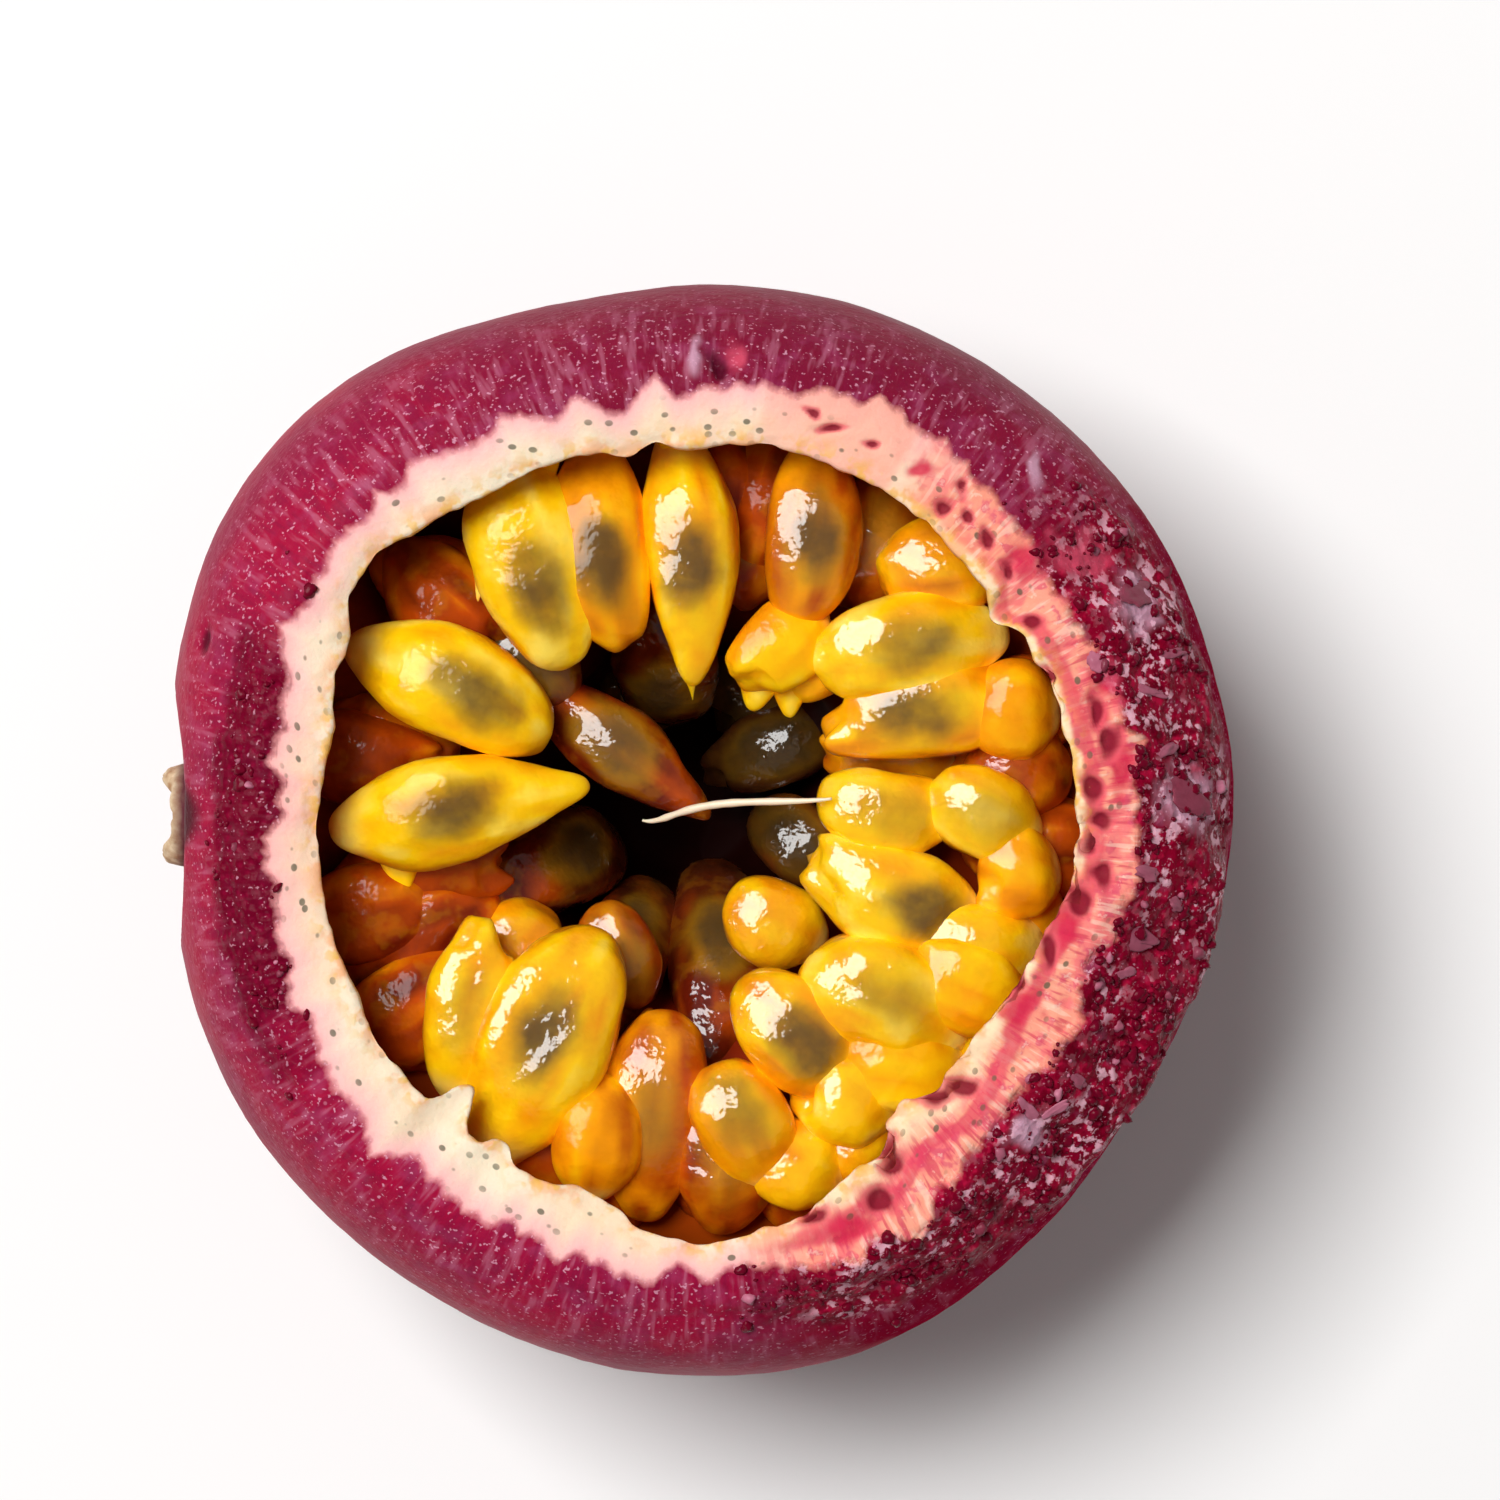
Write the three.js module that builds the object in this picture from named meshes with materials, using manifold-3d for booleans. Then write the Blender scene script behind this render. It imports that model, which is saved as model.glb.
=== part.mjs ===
// Half of a purple passion fruit, cut side up: a thick bowl of rind and pith, the heap of juice sacs
// that hangs from its wall round an open hollow, a loose fibre that lies across the hollow, and the
// corky scar where the stalk broke off.
// Millimetres, +Z up. The origin is the middle of the small flat spot that the half rests on, the
// stalk end points along -X, and bearings run anticlockwise from +X, seen from above.
import * as THREE from "three";
import { mergeVertices } from "three/addons/utils/BufferGeometryUtils.js";
import Module from "manifold-3d";

const wasm = await Module();
wasm.setup();

// Driving dimensions of the bowl.
const equatorHeight = 22;
const restingRadius = 6;
const wallThickness = 4.2;
const rimTurn = THREE.MathUtils.degToRad(65); // how far the skin has curled inwards at the cut
const bowlTurns = 80;
const arcSteps = { outerLower: 7, outerUpper: 5, flesh: 3, pith: 2, innerLower: 5, innerUpper: 4 };
const fleshBump = 0.25; // how far the band of red flesh and the pith stand above straight lines
const pithBump = 0.15;
const ruggedness = 0.22; // of the torn flesh on the worn side
const wornSide = { at: 350, reach: 75, rise: 1 };
const fitGap = 0.3;

// Each outline is a mean value with soft swellings: { at, reach } are bearings and rise is in mm.
const outlines = {
  equator: {
    mean: 25.6,
    swellings: [
      { at: 65, reach: 70, rise: 0.6 },
      { at: 137, reach: 42, rise: 1.9 },
      { at: 182, reach: 25, rise: -0.4 },
      { at: 278, reach: 40, rise: 0.4 },
      { at: 330, reach: 42, rise: -1.1 },
    ],
  },
  skinEdge: {
    mean: 22.5,
    swellings: [
      { at: 15, reach: 75, rise: 1.9 },
      { at: 137, reach: 35, rise: 1.1 },
      { at: 182, reach: 30, rise: -0.5 },
      { at: 330, reach: 50, rise: 0.9 },
    ],
  },
  skinEdgeHeight: { mean: 31.3, swellings: [{ at: 350, reach: 95, rise: -4 }] },
  pithEdge: {
    mean: 20.6,
    swellings: [
      { at: 135, reach: 40, rise: 1.5 },
      { at: 182, reach: 30, rise: -1.1 },
      { at: 218, reach: 25, rise: 0.4 },
      { at: 288, reach: 25, rise: 0.5 },
      { at: 328, reach: 36, rise: -1.1 },
    ],
  },
  pithEdgeHeight: { mean: 32.4, swellings: [{ at: 350, reach: 95, rise: -1 }] },
  mouth: {
    mean: 17.4,
    swellings: [
      { at: 75, reach: 35, rise: 0.7 },
      { at: 112, reach: 24, rise: 0.9 },
      { at: 141, reach: 26, rise: 2.1 },
      { at: 271, reach: 26, rise: 1.3 },
      { at: 323, reach: 42, rise: -1.8 },
    ],
  },
  mouthHeight: { mean: 32, swellings: [{ at: 350, reach: 95, rise: -0.4 }] },
};

// The stalk scar and the pocket of the skin that it sits in.
const scarAt = new THREE.Vector3(-25, 0.8, equatorHeight);
const scarRadius = 2.5;
const scarDepth = 1.6;
const scarCrest = 0.55; // how far its ring stands beyond the skin
// Its lathe profile past the plug's outer corner: shares of the radius and of the crest.
const scarRing = [
  [1, -0.36],
  [0.84, 1],
  [0.6, 0.7],
  [0.36, -1],
  [0, -1.2],
];
const scarSides = 16;
const socketSides = 18;
const stalkDent = { reach: 6.5, depth: 1.1 };

// A gash in the skin at the far side of the rim.
const gash = { x: 1, y: 21.6, reach: 1.9, depth: 0.8 };

// The free space above the heap: the profile of a funnel, as radius and height, about its own axis.
const hollowAxis = { x: -0.7, y: 1.3 };
const hollowProfile = [
  [0, 7.5],
  [3.6, 8],
  [5.6, 12],
  [7, 17],
  [8.2, 22],
  [10.4, 25],
  [15, 25.9],
  [19, 26.1],
  [30, 26.2],
];
const hollowTurns = 32;
const heapRoomHeight = 34; // where the room that the heap may fill is closed, above the rim
const funnelHeight = 39;
const shadedPockets = [
  { at: 136, reach: 15, rise: -6 },
  { at: 170, reach: 8, rise: -4 },
  { at: 204, reach: 22, rise: -5 },
];
const pocketStart = 10; // the pockets deepen between these two radii
const pocketEnd = 15;

// The juice sacs: three tiers, those that lean down the hollow's sides, and those that close the gaps.
// A sac is [root x, root y, tip x, tip y, width, point]: the root hangs on the wall, the tip points into
// the hollow, and the point says how far it tapers, 0 for not at all.
const sacSides = 8;
const sacRings = 6;
const sacFlatness = 0.84;
const sacLift = 0.7; // the spread in height within a tier
const rootShare = 0.7; // how wide a sac is drawn near its root
const rootReach = 0.4; // the share of its length over which it widens
const taperStart = 0.45;
const taperDepth = 0.8;
const tiers = [
  {
    rootHeight: 27.1,
    tipHeight: 27.7,
    sacs: [
      [5.6, 10.6, 1.5, 6.8, 4.2],
      [-17.4, 0.1, -5.2, 2.2, 5.2, 0.6],
      [-16.6, 9, -7, 4.3, 5.2],
      [-9.8, 18.6, -6.3, 7.6, 5.4],
      [-4.8, 19, -3.7, 8.6, 4.8],
      [-1.2, 19.2, -0.3, 6.9, 4.8, 0.5],
      [5.6, 19, 4.7, 9.6, 4.6],
      [14.6, 13.2, 8.4, 12.2, 4.8],
      [14.6, 9.4, 5.2, 7.9, 5],
      [16, 6, 6.4, 4.7, 4.6],
      [17, 5.6, 12.4, 5.6, 5],
      [12.4, 0.9, 5.5, 1.7, 4.4],
      [16, -0.4, 10.8, 2.2, 4.2],
      [13.2, -4.2, 5.6, -1.2, 5.2],
      [17, -1.8, 13, -2.3, 4.8],
      [7.4, -12.2, 1.8, -7.1, 4.8],
      [12.6, -9.8, 4.8, -6.3, 5.4],
      [15.4, -8.4, 9.6, -6, 4.8],
      [3.6, -16.6, 0.6, -10.8, 4.6],
      [9.4, -13.2, 4.6, -12, 4.4],
      [7, -16.4, 2, -14.6, 4.2],
      [-9.4, -14.6, -4.8, -4.6, 6.4],
      [-5.2, -17.4, -4.6, -11.2, 4.4],
      [-12, -11.8, -9.9, -4.4, 4.2],
      [16.2, -5, 9.4, -5.4, 4.6],
      [12.6, -11.6, 6.2, -10.6, 4.8],
    ],
  },
  {
    rootHeight: 24,
    tipHeight: 24.6,
    sacs: [
      [-15.6, 13, -8.4, 9.6, 4.8],
      [-11, 9.8, -5.8, 6.4, 3.8],
      [2.1, 19.6, 2.4, 10.6, 4.4],
      [9.8, 17.4, 6.8, 10.6, 4.8],
      [18, 2.6, 11.6, 2.6, 4.6],
      [12.6, 3, 6, 3.9, 4],
      [6, -5.4, 1.3, -3.1, 4.2],
      [0.8, -18.8, 0.2, -12.4, 4.8],
      [-2.9, -17.6, -1.6, -8.6, 4.6],
      [-10, -7.4, -7.4, -3.5, 4.2],
      [-17, -7.4, -9.6, -2.8, 5],
      [-15, -11, -11, -6, 4.6],
      [-17.8, 5.6, -11.4, 3.4, 4.4],
      [-17.6, -2.8, -9, -1.6, 4.6],
      [-7.8, 7, -0.2, 1.1, 4, 0.3],
      [-2.8, -8.4, -4.8, -3.4, 3.8],
    ],
  },
  {
    rootHeight: 15.5,
    tipHeight: 13.5,
    sacs: [
      [7.4, 4.8, 0.4, 2.9, 4],
      [6.6, -2.6, 2.8, 1.2, 4],
      [-4, 9.4, -2.4, 4.6, 4.2],
      [3.2, 9.8, 1.4, 5.2, 4.2],
    ],
  },
  {
    rootHeight: 24.2,
    tipHeight: 15,
    sacs: [
      [0.4, -11.2, 0.4, -1.6, 5],
      [-10.2, -3.2, -4.2, -0.8, 5],
      [-1.4, 11.2, -1.6, 5.6, 5],
      [-4.6, -9.4, -2.6, -2.6, 4.2],
    ],
  },
  {
    rootHeight: 25.7,
    tipHeight: 26.3,
    sacs: [
      [-2.6, -18.4, -1.6, -8.4, 5.4],
      [1.2, -19, 0.6, -11.8, 5.2],
      [17.6, 2.4, 12.6, 3.4, 4.8],
      [17.2, -4, 13, -3.6, 4.4],
      [14.8, -10.8, 10.4, -8.8, 4.6],
      [12.8, 15, 9.4, 10.4, 4.6],
      [9.4, -15.6, 5.6, -13.4, 4.4],
      [14, 5.8, 9, 7, 4],
    ],
  },
];

// The bed sacs fill the ring between the hand-laid ones, half sunk in the heap.
const bed = { count: 15, rootReach: 20, tipReach: 12.5, rootHeight: 24.9, tipHeight: 25.3, width: 4.8 };
const bedSpread = 0.6; // of their bearings, as a share of the step
const tierDraws = 100; // each tier and each use of draw has numbers of its own from here on
const bedBearingDraws = 500;
const bedLiftDraws = 600;

// The whitish fibre that lies across the hollow, from one sac's tip to another's.
const fibrePath = [
  [-2.7, 0.55, 25],
  [-1.4, 0.75, 25.7],
  [0.4, 1.25, 26.7],
  [3, 1.45, 27.7],
  [6.2, 1.6, 29.1],
];
const fibreRadius = 0.25;
const fibreSides = 6;
const fibreSteps = 12;

const colours = { rind: 0x9c1f4c, pulp: 0xf0a818, fibre: 0xf6e6c8, scar: 0xc9a177 };

// A repeatable random number in 0..1 for every whole-number index.
function draw(index) {
  const wave = Math.sin(index * 12.9898 + 4.1414) * 43758.5453;
  return wave - Math.floor(wave);
}

// A raised cosine in the bearing that is its full rise at its middle and nothing past its reach.
function swell(bearing, { at, reach, rise }) {
  const away = Math.abs(((((bearing - at) % 360) + 540) % 360) - 180);
  return away < reach ? (rise * (1 + Math.cos((Math.PI * away) / reach))) / 2 : 0;
}

function outlineAt(name, bearing) {
  const { mean, swellings } = outlines[name];
  return swellings.reduce((sum, lobe) => sum + swell(bearing, lobe), mean);
}

// Points of the curled upper wall: an ellipse arc from the equator up to an edge, ends included.
function upperArc(equator, edge, edgeHeight, steps) {
  return Array.from({ length: steps + 1 }, (_, i) => {
    const turn = (rimTurn * i) / steps;
    return [
      equator - ((equator - edge) * (1 - Math.cos(turn))) / (1 - Math.cos(rimTurn)),
      equatorHeight + ((edgeHeight - equatorHeight) * Math.sin(turn)) / Math.sin(rimTurn),
    ];
  });
}

// Points of the lower wall: a quarter ellipse from a flat middle up to just below the equator.
function lowerArc(flat, equator, floor, steps) {
  return Array.from({ length: steps }, (_, i) => {
    const turn = (Math.PI * i) / (2 * steps);
    return [
      flat + (equator - flat) * Math.sin(turn),
      equatorHeight - (equatorHeight - floor) * Math.cos(turn),
    ];
  });
}

// Points between two others, both left out, raised by a bump that is highest halfway.
function bridge([r0, z0], [r1, z1], bump, steps) {
  return Array.from({ length: steps - 1 }, (_, i) => {
    const t = (i + 1) / steps;
    return [r0 + (r1 - r0) * t, z0 + (z1 - z0) * t + bump * Math.sin(Math.PI * t)];
  });
}

// The bowl's inner wall from its floor to its mouth, moved into the hollow by an inset.
function innerWall(bearing, inset) {
  const equator = outlineAt("equator", bearing) - wallThickness - inset;
  const mouth = outlineAt("mouth", bearing) - inset;
  const lower = lowerArc(0, equator, wallThickness + inset, arcSteps.innerLower).slice(1);
  return [...lower, ...upperArc(equator, mouth, outlineAt("mouthHeight", bearing), arcSteps.innerUpper)];
}

// The bowl's profile from the middle of its resting spot, over the rim, to the middle of its floor.
function bowlProfile(bearing) {
  const equator = outlineAt("equator", bearing);
  const skinEdge = outlineAt("skinEdge", bearing);
  const pithCorner = [outlineAt("pithEdge", bearing), outlineAt("pithEdgeHeight", bearing)];
  const inside = innerWall(bearing, 0).reverse();
  const outside = [
    ...lowerArc(restingRadius, equator, 0, arcSteps.outerLower),
    ...upperArc(equator, skinEdge, outlineAt("skinEdgeHeight", bearing), arcSteps.outerUpper),
  ];
  return [
    [0, 0],
    ...outside,
    ...bridge(outside[outside.length - 1], pithCorner, fleshBump, arcSteps.flesh),
    pithCorner,
    ...bridge(pithCorner, inside[0], pithBump, arcSteps.pith),
    ...inside,
    [0, wallThickness],
  ];
}

// A closed body round the Z axis: each bearing has its own profile, whose two ends lie on the axis.
function sweep(profileAt, turns) {
  const ends = profileAt(0);
  const rows = ends.length - 2;
  const positions = [0, 0, ends[0][1]];
  const faces = [];
  for (let turn = 0; turn < turns; turn++) {
    const bearing = (360 * turn) / turns;
    const angle = THREE.MathUtils.degToRad(bearing);
    for (const [r, z] of profileAt(bearing).slice(1, -1))
      positions.push(r * Math.cos(angle), r * Math.sin(angle), z);
  }
  positions.push(0, 0, ends[ends.length - 1][1]);
  const lastPole = turns * rows + 1;
  for (let turn = 0; turn < turns; turn++) {
    const here = 1 + turn * rows;
    const next = 1 + ((turn + 1) % turns) * rows;
    faces.push(0, next, here);
    for (let row = 0; row < rows - 1; row++) {
      faces.push(here + row, next + row, next + row + 1);
      faces.push(here + row, next + row + 1, here + row + 1);
    }
    faces.push(here + rows - 1, next + rows - 1, lastPole);
  }
  const geometry = new THREE.BufferGeometry();
  geometry.setAttribute("position", new THREE.Float32BufferAttribute(positions, 3));
  geometry.setIndex(faces);
  return geometry;
}

// A three.js geometry as a manifold solid, its shared corners merged and its empty faces dropped.
function toSolid(geometry) {
  geometry.deleteAttribute("normal");
  geometry.deleteAttribute("uv");
  const merged = mergeVertices(geometry, 1e-4);
  const kept = [];
  for (let i = 0; i < merged.index.count; i += 3) {
    const [a, b, c] = [0, 1, 2].map((k) => merged.index.getX(i + k));
    if (a !== b && b !== c && c !== a) kept.push(a, b, c);
  }
  const vertProperties = new Float32Array(merged.getAttribute("position").array);
  const triVerts = new Uint32Array(kept);
  return new wasm.Manifold(new wasm.Mesh({ numProp: 3, vertProperties, triVerts }));
}

// The largest body of a solid, as a named mesh; scraps that a cut leaves loose are dropped.
function toMesh(solid, name, color, roughness) {
  const [body] = solid.decompose().sort((a, b) => b.volume() - a.volume());
  const { vertProperties, triVerts } = body.getMesh();
  const geometry = new THREE.BufferGeometry();
  geometry.setAttribute("position", new THREE.BufferAttribute(vertProperties, 3));
  geometry.setIndex(new THREE.BufferAttribute(triVerts, 1));
  geometry.computeVertexNormals();
  const material = new THREE.MeshStandardMaterial({ color, roughness, metalness: 0 });
  const mesh = new THREE.Mesh(geometry, material);
  mesh.name = name;
  return mesh;
}

// The disc of a lathe profile, turned so that its axis points outwards along -X at the stalk.
function atStalk(profile, sides) {
  const disc = new THREE.LatheGeometry(profile, sides);
  disc.rotateZ(Math.PI / 2);
  disc.translate(scarAt.x, scarAt.y, scarAt.z);
  return disc;
}

// The bowl, with the dent round its stalk, the gash and the ruggedness of its torn side.
function makeBowl() {
  const geometry = sweep(bowlProfile, bowlTurns);
  const places = geometry.getAttribute("position");
  const point = new THREE.Vector3();
  for (let i = 0; i < places.count; i++) {
    point.fromBufferAttribute(places, i);
    const bearing = THREE.MathUtils.radToDeg(Math.atan2(point.y, point.x));
    const reach = Math.hypot(point.x, point.y);
    const onSkin = reach > outlineAt("equator", bearing) - wallThickness / 2;
    const nearStalk = point.distanceTo(scarAt) / stalkDent.reach;
    if (onSkin && nearStalk < 1) point.x += stalkDent.depth * Math.cos((Math.PI * nearStalk) / 2);
    const nearGash = Math.hypot(point.x - gash.x, point.y - gash.y) / gash.reach;
    if (nearGash < 1 && point.z > equatorHeight) point.z -= gash.depth * (1 - nearGash);
    const onCut = point.z > outlineAt("skinEdgeHeight", bearing) && reach > outlineAt("mouth", bearing) + 1;
    if (onCut) point.z += ruggedness * swell(bearing, wornSide) * (2 * draw(i) - 1);
    places.setXYZ(i, point.x, point.y, point.z);
  }
  const socket = [
    new THREE.Vector2(0, -scarDepth - fitGap),
    new THREE.Vector2(scarRadius + fitGap, -scarDepth - fitGap),
    new THREE.Vector2(scarRadius + fitGap, scarDepth * 2),
    new THREE.Vector2(0, scarDepth * 2),
  ];
  return toSolid(geometry).subtract(toSolid(atStalk(socket, socketSides)));
}

// The corky plug of the stalk scar: a ring that stands proud round a sunken middle.
function makeScar() {
  const ring = scarRing.map(([r, z]) => new THREE.Vector2(r * scarRadius, z * scarCrest));
  const plug = [new THREE.Vector2(0, -scarDepth), new THREE.Vector2(scarRadius, -scarDepth)];
  return toSolid(atStalk([...plug, ...ring], scarSides));
}

// One juice sac. Its half-width is (w/2) sqrt(1 - |2t^0.9 - 1|^2.5) for t from root to tip, drawn in
// towards the root and, for a pointed one, towards the tip.
function makeSac([rootX, rootY, tipX, tipY, width, point = 0], { rootHeight, tipHeight }, index) {
  const lift = sacLift * (draw(index) - 0.5);
  const root = new THREE.Vector3(rootX, rootY, rootHeight + lift);
  const tip = new THREE.Vector3(tipX, tipY, tipHeight + lift);
  const length = root.distanceTo(tip);
  const profile = Array.from({ length: sacRings + 1 }, (_, i) => {
    const t = i / sacRings;
    const drop = Math.sqrt(Math.max(0, 1 - Math.abs(2 * t ** 0.9 - 1) ** 2.5));
    const rooted = rootShare + (1 - rootShare) * THREE.MathUtils.smoothstep(t, 0, rootReach);
    const tapered = 1 - taperDepth * point * THREE.MathUtils.smoothstep(t, taperStart, 1);
    return new THREE.Vector2((drop * rooted * tapered * width) / 2, t * length);
  });
  const sac = new THREE.LatheGeometry(profile, sacSides);
  sac.scale(1, 1, sacFlatness);
  const along = tip.clone().sub(root).normalize();
  const across = new THREE.Vector3(-along.y, along.x, 0).normalize();
  const upward = across.clone().cross(along);
  sac.applyMatrix4(new THREE.Matrix4().makeBasis(across, along, upward).setPosition(root));
  return toSolid(sac);
}

// The hand-laid sacs of every tier, then the ring of bed sacs.
function makeSacs() {
  const laid = tiers.flatMap((tier, t) => tier.sacs.map((sac, i) => makeSac(sac, tier, tierDraws * t + i)));
  const ring = Array.from({ length: bed.count }, (_, i) => {
    const bearing = (2 * Math.PI * (i + bedSpread * (draw(bedBearingDraws + i) - 0.5))) / bed.count;
    const [c, s] = [Math.cos(bearing), Math.sin(bearing)];
    const place = [bed.rootReach * c, bed.rootReach * s, bed.tipReach * c, bed.tipReach * s, bed.width];
    return makeSac(place, bed, bedLiftDraws + i);
  });
  return [...laid, ...ring];
}

// The fibre: a thin rod swept along a smooth curve through its path.
function makeFibre() {
  const curve = new THREE.CatmullRomCurve3(fibrePath.map(([x, y, z]) => new THREE.Vector3(x, y, z)));
  const section = new THREE.Shape(
    Array.from({ length: fibreSides }, (_, i) => {
      const angle = (2 * Math.PI * i) / fibreSides;
      return new THREE.Vector2(fibreRadius * Math.cos(angle), fibreRadius * Math.sin(angle));
    }),
  );
  const options = { steps: fibreSteps, extrudePath: curve, bevelEnabled: false };
  return toSolid(new THREE.ExtrudeGeometry(section, options));
}

// The heap: all that fills the bowl, less the funnel of free space, with the sacs fused on.
function makePulp() {
  const room = toSolid(
    sweep((bearing) => {
      const wall = innerWall(bearing, fitGap);
      const mouth = wall[wall.length - 1][0];
      return [[0, wallThickness + fitGap], ...wall, [mouth, heapRoomHeight], [0, heapRoomHeight]];
    }, bowlTurns / 2),
  );
  const funnel = sweep((bearing) => {
    const dip = shadedPockets.reduce((sum, pocket) => sum + swell(bearing, pocket), 0);
    const last = hollowProfile[hollowProfile.length - 1][0];
    const walls = hollowProfile
      .slice(1)
      .map(([r, z]) => [r, z + dip * THREE.MathUtils.smoothstep(r, pocketStart, pocketEnd)]);
    return [hollowProfile[0], ...walls, [last, funnelHeight], [0, funnelHeight]];
  }, hollowTurns);
  funnel.translate(hollowAxis.x, hollowAxis.y, 0);
  const sacs = makeSacs().reduce((sum, sac) => sum.add(sac));
  return room.subtract(toSolid(funnel)).add(sacs.intersect(room));
}

const half = new THREE.Group();
half.add(toMesh(makeBowl(), "shell", colours.rind, 0.45));
half.add(toMesh(makePulp(), "pulp", colours.pulp, 0.25));
half.add(toMesh(makeFibre(), "fibre", colours.fibre, 0.5));
half.add(toMesh(makeScar(), "stem_scar", colours.scar, 0.9));

export default half;
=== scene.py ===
# Half of a purple passion fruit, cut side up, dressed for a close studio shot.
# Shapes are worked out in millimetres as numpy grids and put into the meshes in metres.
import itertools

import bpy
import numpy as np
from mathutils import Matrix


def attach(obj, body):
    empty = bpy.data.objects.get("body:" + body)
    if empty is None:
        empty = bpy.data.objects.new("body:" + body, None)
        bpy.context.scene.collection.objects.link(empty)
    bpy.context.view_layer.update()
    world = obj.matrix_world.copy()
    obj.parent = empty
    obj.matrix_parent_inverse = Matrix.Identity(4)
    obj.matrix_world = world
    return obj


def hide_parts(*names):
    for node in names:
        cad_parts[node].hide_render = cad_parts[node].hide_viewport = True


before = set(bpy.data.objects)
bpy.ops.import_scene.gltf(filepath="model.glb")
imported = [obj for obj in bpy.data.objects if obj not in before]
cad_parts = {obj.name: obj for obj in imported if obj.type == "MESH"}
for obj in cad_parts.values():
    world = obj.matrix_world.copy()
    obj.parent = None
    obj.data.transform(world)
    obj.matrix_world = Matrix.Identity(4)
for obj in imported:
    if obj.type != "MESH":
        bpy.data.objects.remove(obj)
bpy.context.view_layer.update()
print("stage: frame loaded, nodes", sorted(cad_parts))

mm = 0.001
fullTurn = 2 * np.pi


# Value noise in -1..1: random numbers at whole-number corners, blended by s*s*(3-2s) in each direction.
def softNoise(points, seed):
    side = 32
    table = np.random.default_rng(seed).random((side, side, side))
    corner = np.floor(points).astype(int)
    ease = points - corner
    ease = ease * ease * (3 - 2 * ease)
    total = np.zeros(points.shape[:-1])
    for step in itertools.product((0, 1), repeat=3):
        x, y, z = np.moveaxis((corner + step) % side, -1, 0)
        share = np.where(np.array(step) == 1, ease, 1 - ease)
        total += table[x, y, z] * share.prod(axis=-1)
    return 2 * total - 1


# Sum of softNoise at doubling fineness, each layer half as high as the one before.
def layeredNoise(points, seed, layers=3):
    total = sum(softNoise(points * 2.0**k, seed + k) / 2.0**k for k in range(layers))
    return total / (2 - 2.0 ** (1 - layers))


# Distance to the nearest of one jittered point for each whole-number cell, about 0..1.
def cellDistance(points, seed):
    side = 32
    jitter = np.random.default_rng(seed).random((side, side, side, 3))
    corner = np.floor(points).astype(int)
    nearest = np.full(points.shape[:-1], 9.0)
    for step in itertools.product((-1, 0, 1), repeat=3):
        cell = corner + step
        x, y, z = np.moveaxis(cell % side, -1, 0)
        away = cell + jitter[x, y, z] - points
        nearest = np.minimum(nearest, np.sqrt((away * away).sum(axis=-1)))
    return nearest


# 0 below low, 1 above high, s*s*(3-2s) between them.
def smoothStep(low, high, value):
    s = np.clip((value - low) / (high - low), 0, 1)
    return s * s * (3 - 2 * s)


# A raised cosine in the bearing (degrees): rise at its middle, nothing past its reach.
def swell(bearing, at, reach, rise):
    away = np.abs((bearing - at + 180) % 360 - 180)
    return np.where(away < reach, rise * (1 + np.cos(np.pi * away / reach)) / 2, 0.0)


# Unit normals of closed grids (count, rings, around, 3): the cross product of the steps along and around.
def gridNormals(rings):
    along = np.gradient(rings, axis=1)
    around = np.roll(rings, -1, axis=2) - np.roll(rings, 1, axis=2)
    normal = np.cross(around, along)
    return normal / np.maximum(np.linalg.norm(normal, axis=-1, keepdims=True), 1e-9)


# A mesh of closed bodies. Each has rings (count, rings, around, 3) in mm and a pole at either end.
# Values are {name: (rings array, first pole array, last pole array)} and become point attributes.
def closedBodies(name, rings, firstPole, lastPole, values):
    count, nRings, nAround = rings.shape[:3]
    size = nRings * nAround + 2
    points = np.empty((count, size, 3))
    points[:, 0] = firstPole
    points[:, 1:-1] = rings.reshape(count, -1, 3)
    points[:, -1] = lastPole
    here = np.arange(nAround)
    turned = (here + 1) % nAround
    ring = 1 + nAround * np.arange(nRings - 1)[:, None]
    quads = np.stack([ring + here, ring + turned, ring + nAround + turned, ring + nAround + here], axis=-1)
    last = 1 + nAround * (nRings - 1)
    firstFan = np.stack([np.zeros_like(here), 1 + turned, 1 + here], axis=-1)
    lastFan = np.stack([np.full_like(here, size - 1), last + here, last + turned], axis=-1)
    shift = size * np.arange(count)[:, None, None]
    quads = (quads.reshape(-1, 4) + shift).reshape(-1)
    fans = (np.concatenate([firstFan, lastFan]) + shift).reshape(-1)
    nQuads = len(quads) // 4
    nFans = len(fans) // 3
    mesh = bpy.data.meshes.new(name)
    mesh.vertices.add(count * size)
    mesh.vertices.foreach_set("co", (points.reshape(-1) * mm).astype(np.float32))
    mesh.loops.add(len(quads) + len(fans))
    mesh.loops.foreach_set("vertex_index", np.concatenate([quads, fans]).astype(np.int32))
    mesh.polygons.add(nQuads + nFans)
    starts = np.concatenate([4 * np.arange(nQuads), 4 * nQuads + 3 * np.arange(nFans)])
    mesh.polygons.foreach_set("loop_start", starts.astype(np.int32))
    mesh.update(calc_edges=True)
    mesh.shade_smooth()
    for key, (onRings, onFirst, onLast) in values.items():
        flat = np.empty((count, size))
        flat[:, 0] = onFirst
        flat[:, 1:-1] = np.broadcast_to(onRings, (count, nRings, nAround)).reshape(count, -1)
        flat[:, -1] = onLast
        layer = mesh.attributes.new(key, "FLOAT", "POINT")
        layer.data.foreach_set("value", flat.reshape(-1).astype(np.float32))
    piece = bpy.data.objects.new(name, mesh)
    bpy.context.scene.collection.objects.link(piece)
    print("stage:", name, len(mesh.vertices), "points", 2 * nQuads + nFans, "triangles")
    return piece


# Attaches a piece to the root body and hides the CAD nodes that it stands for; the slot is not used.
def register(piece, slot, *nodes):
    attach(piece, "root")
    if nodes:
        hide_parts(*nodes)


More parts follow.
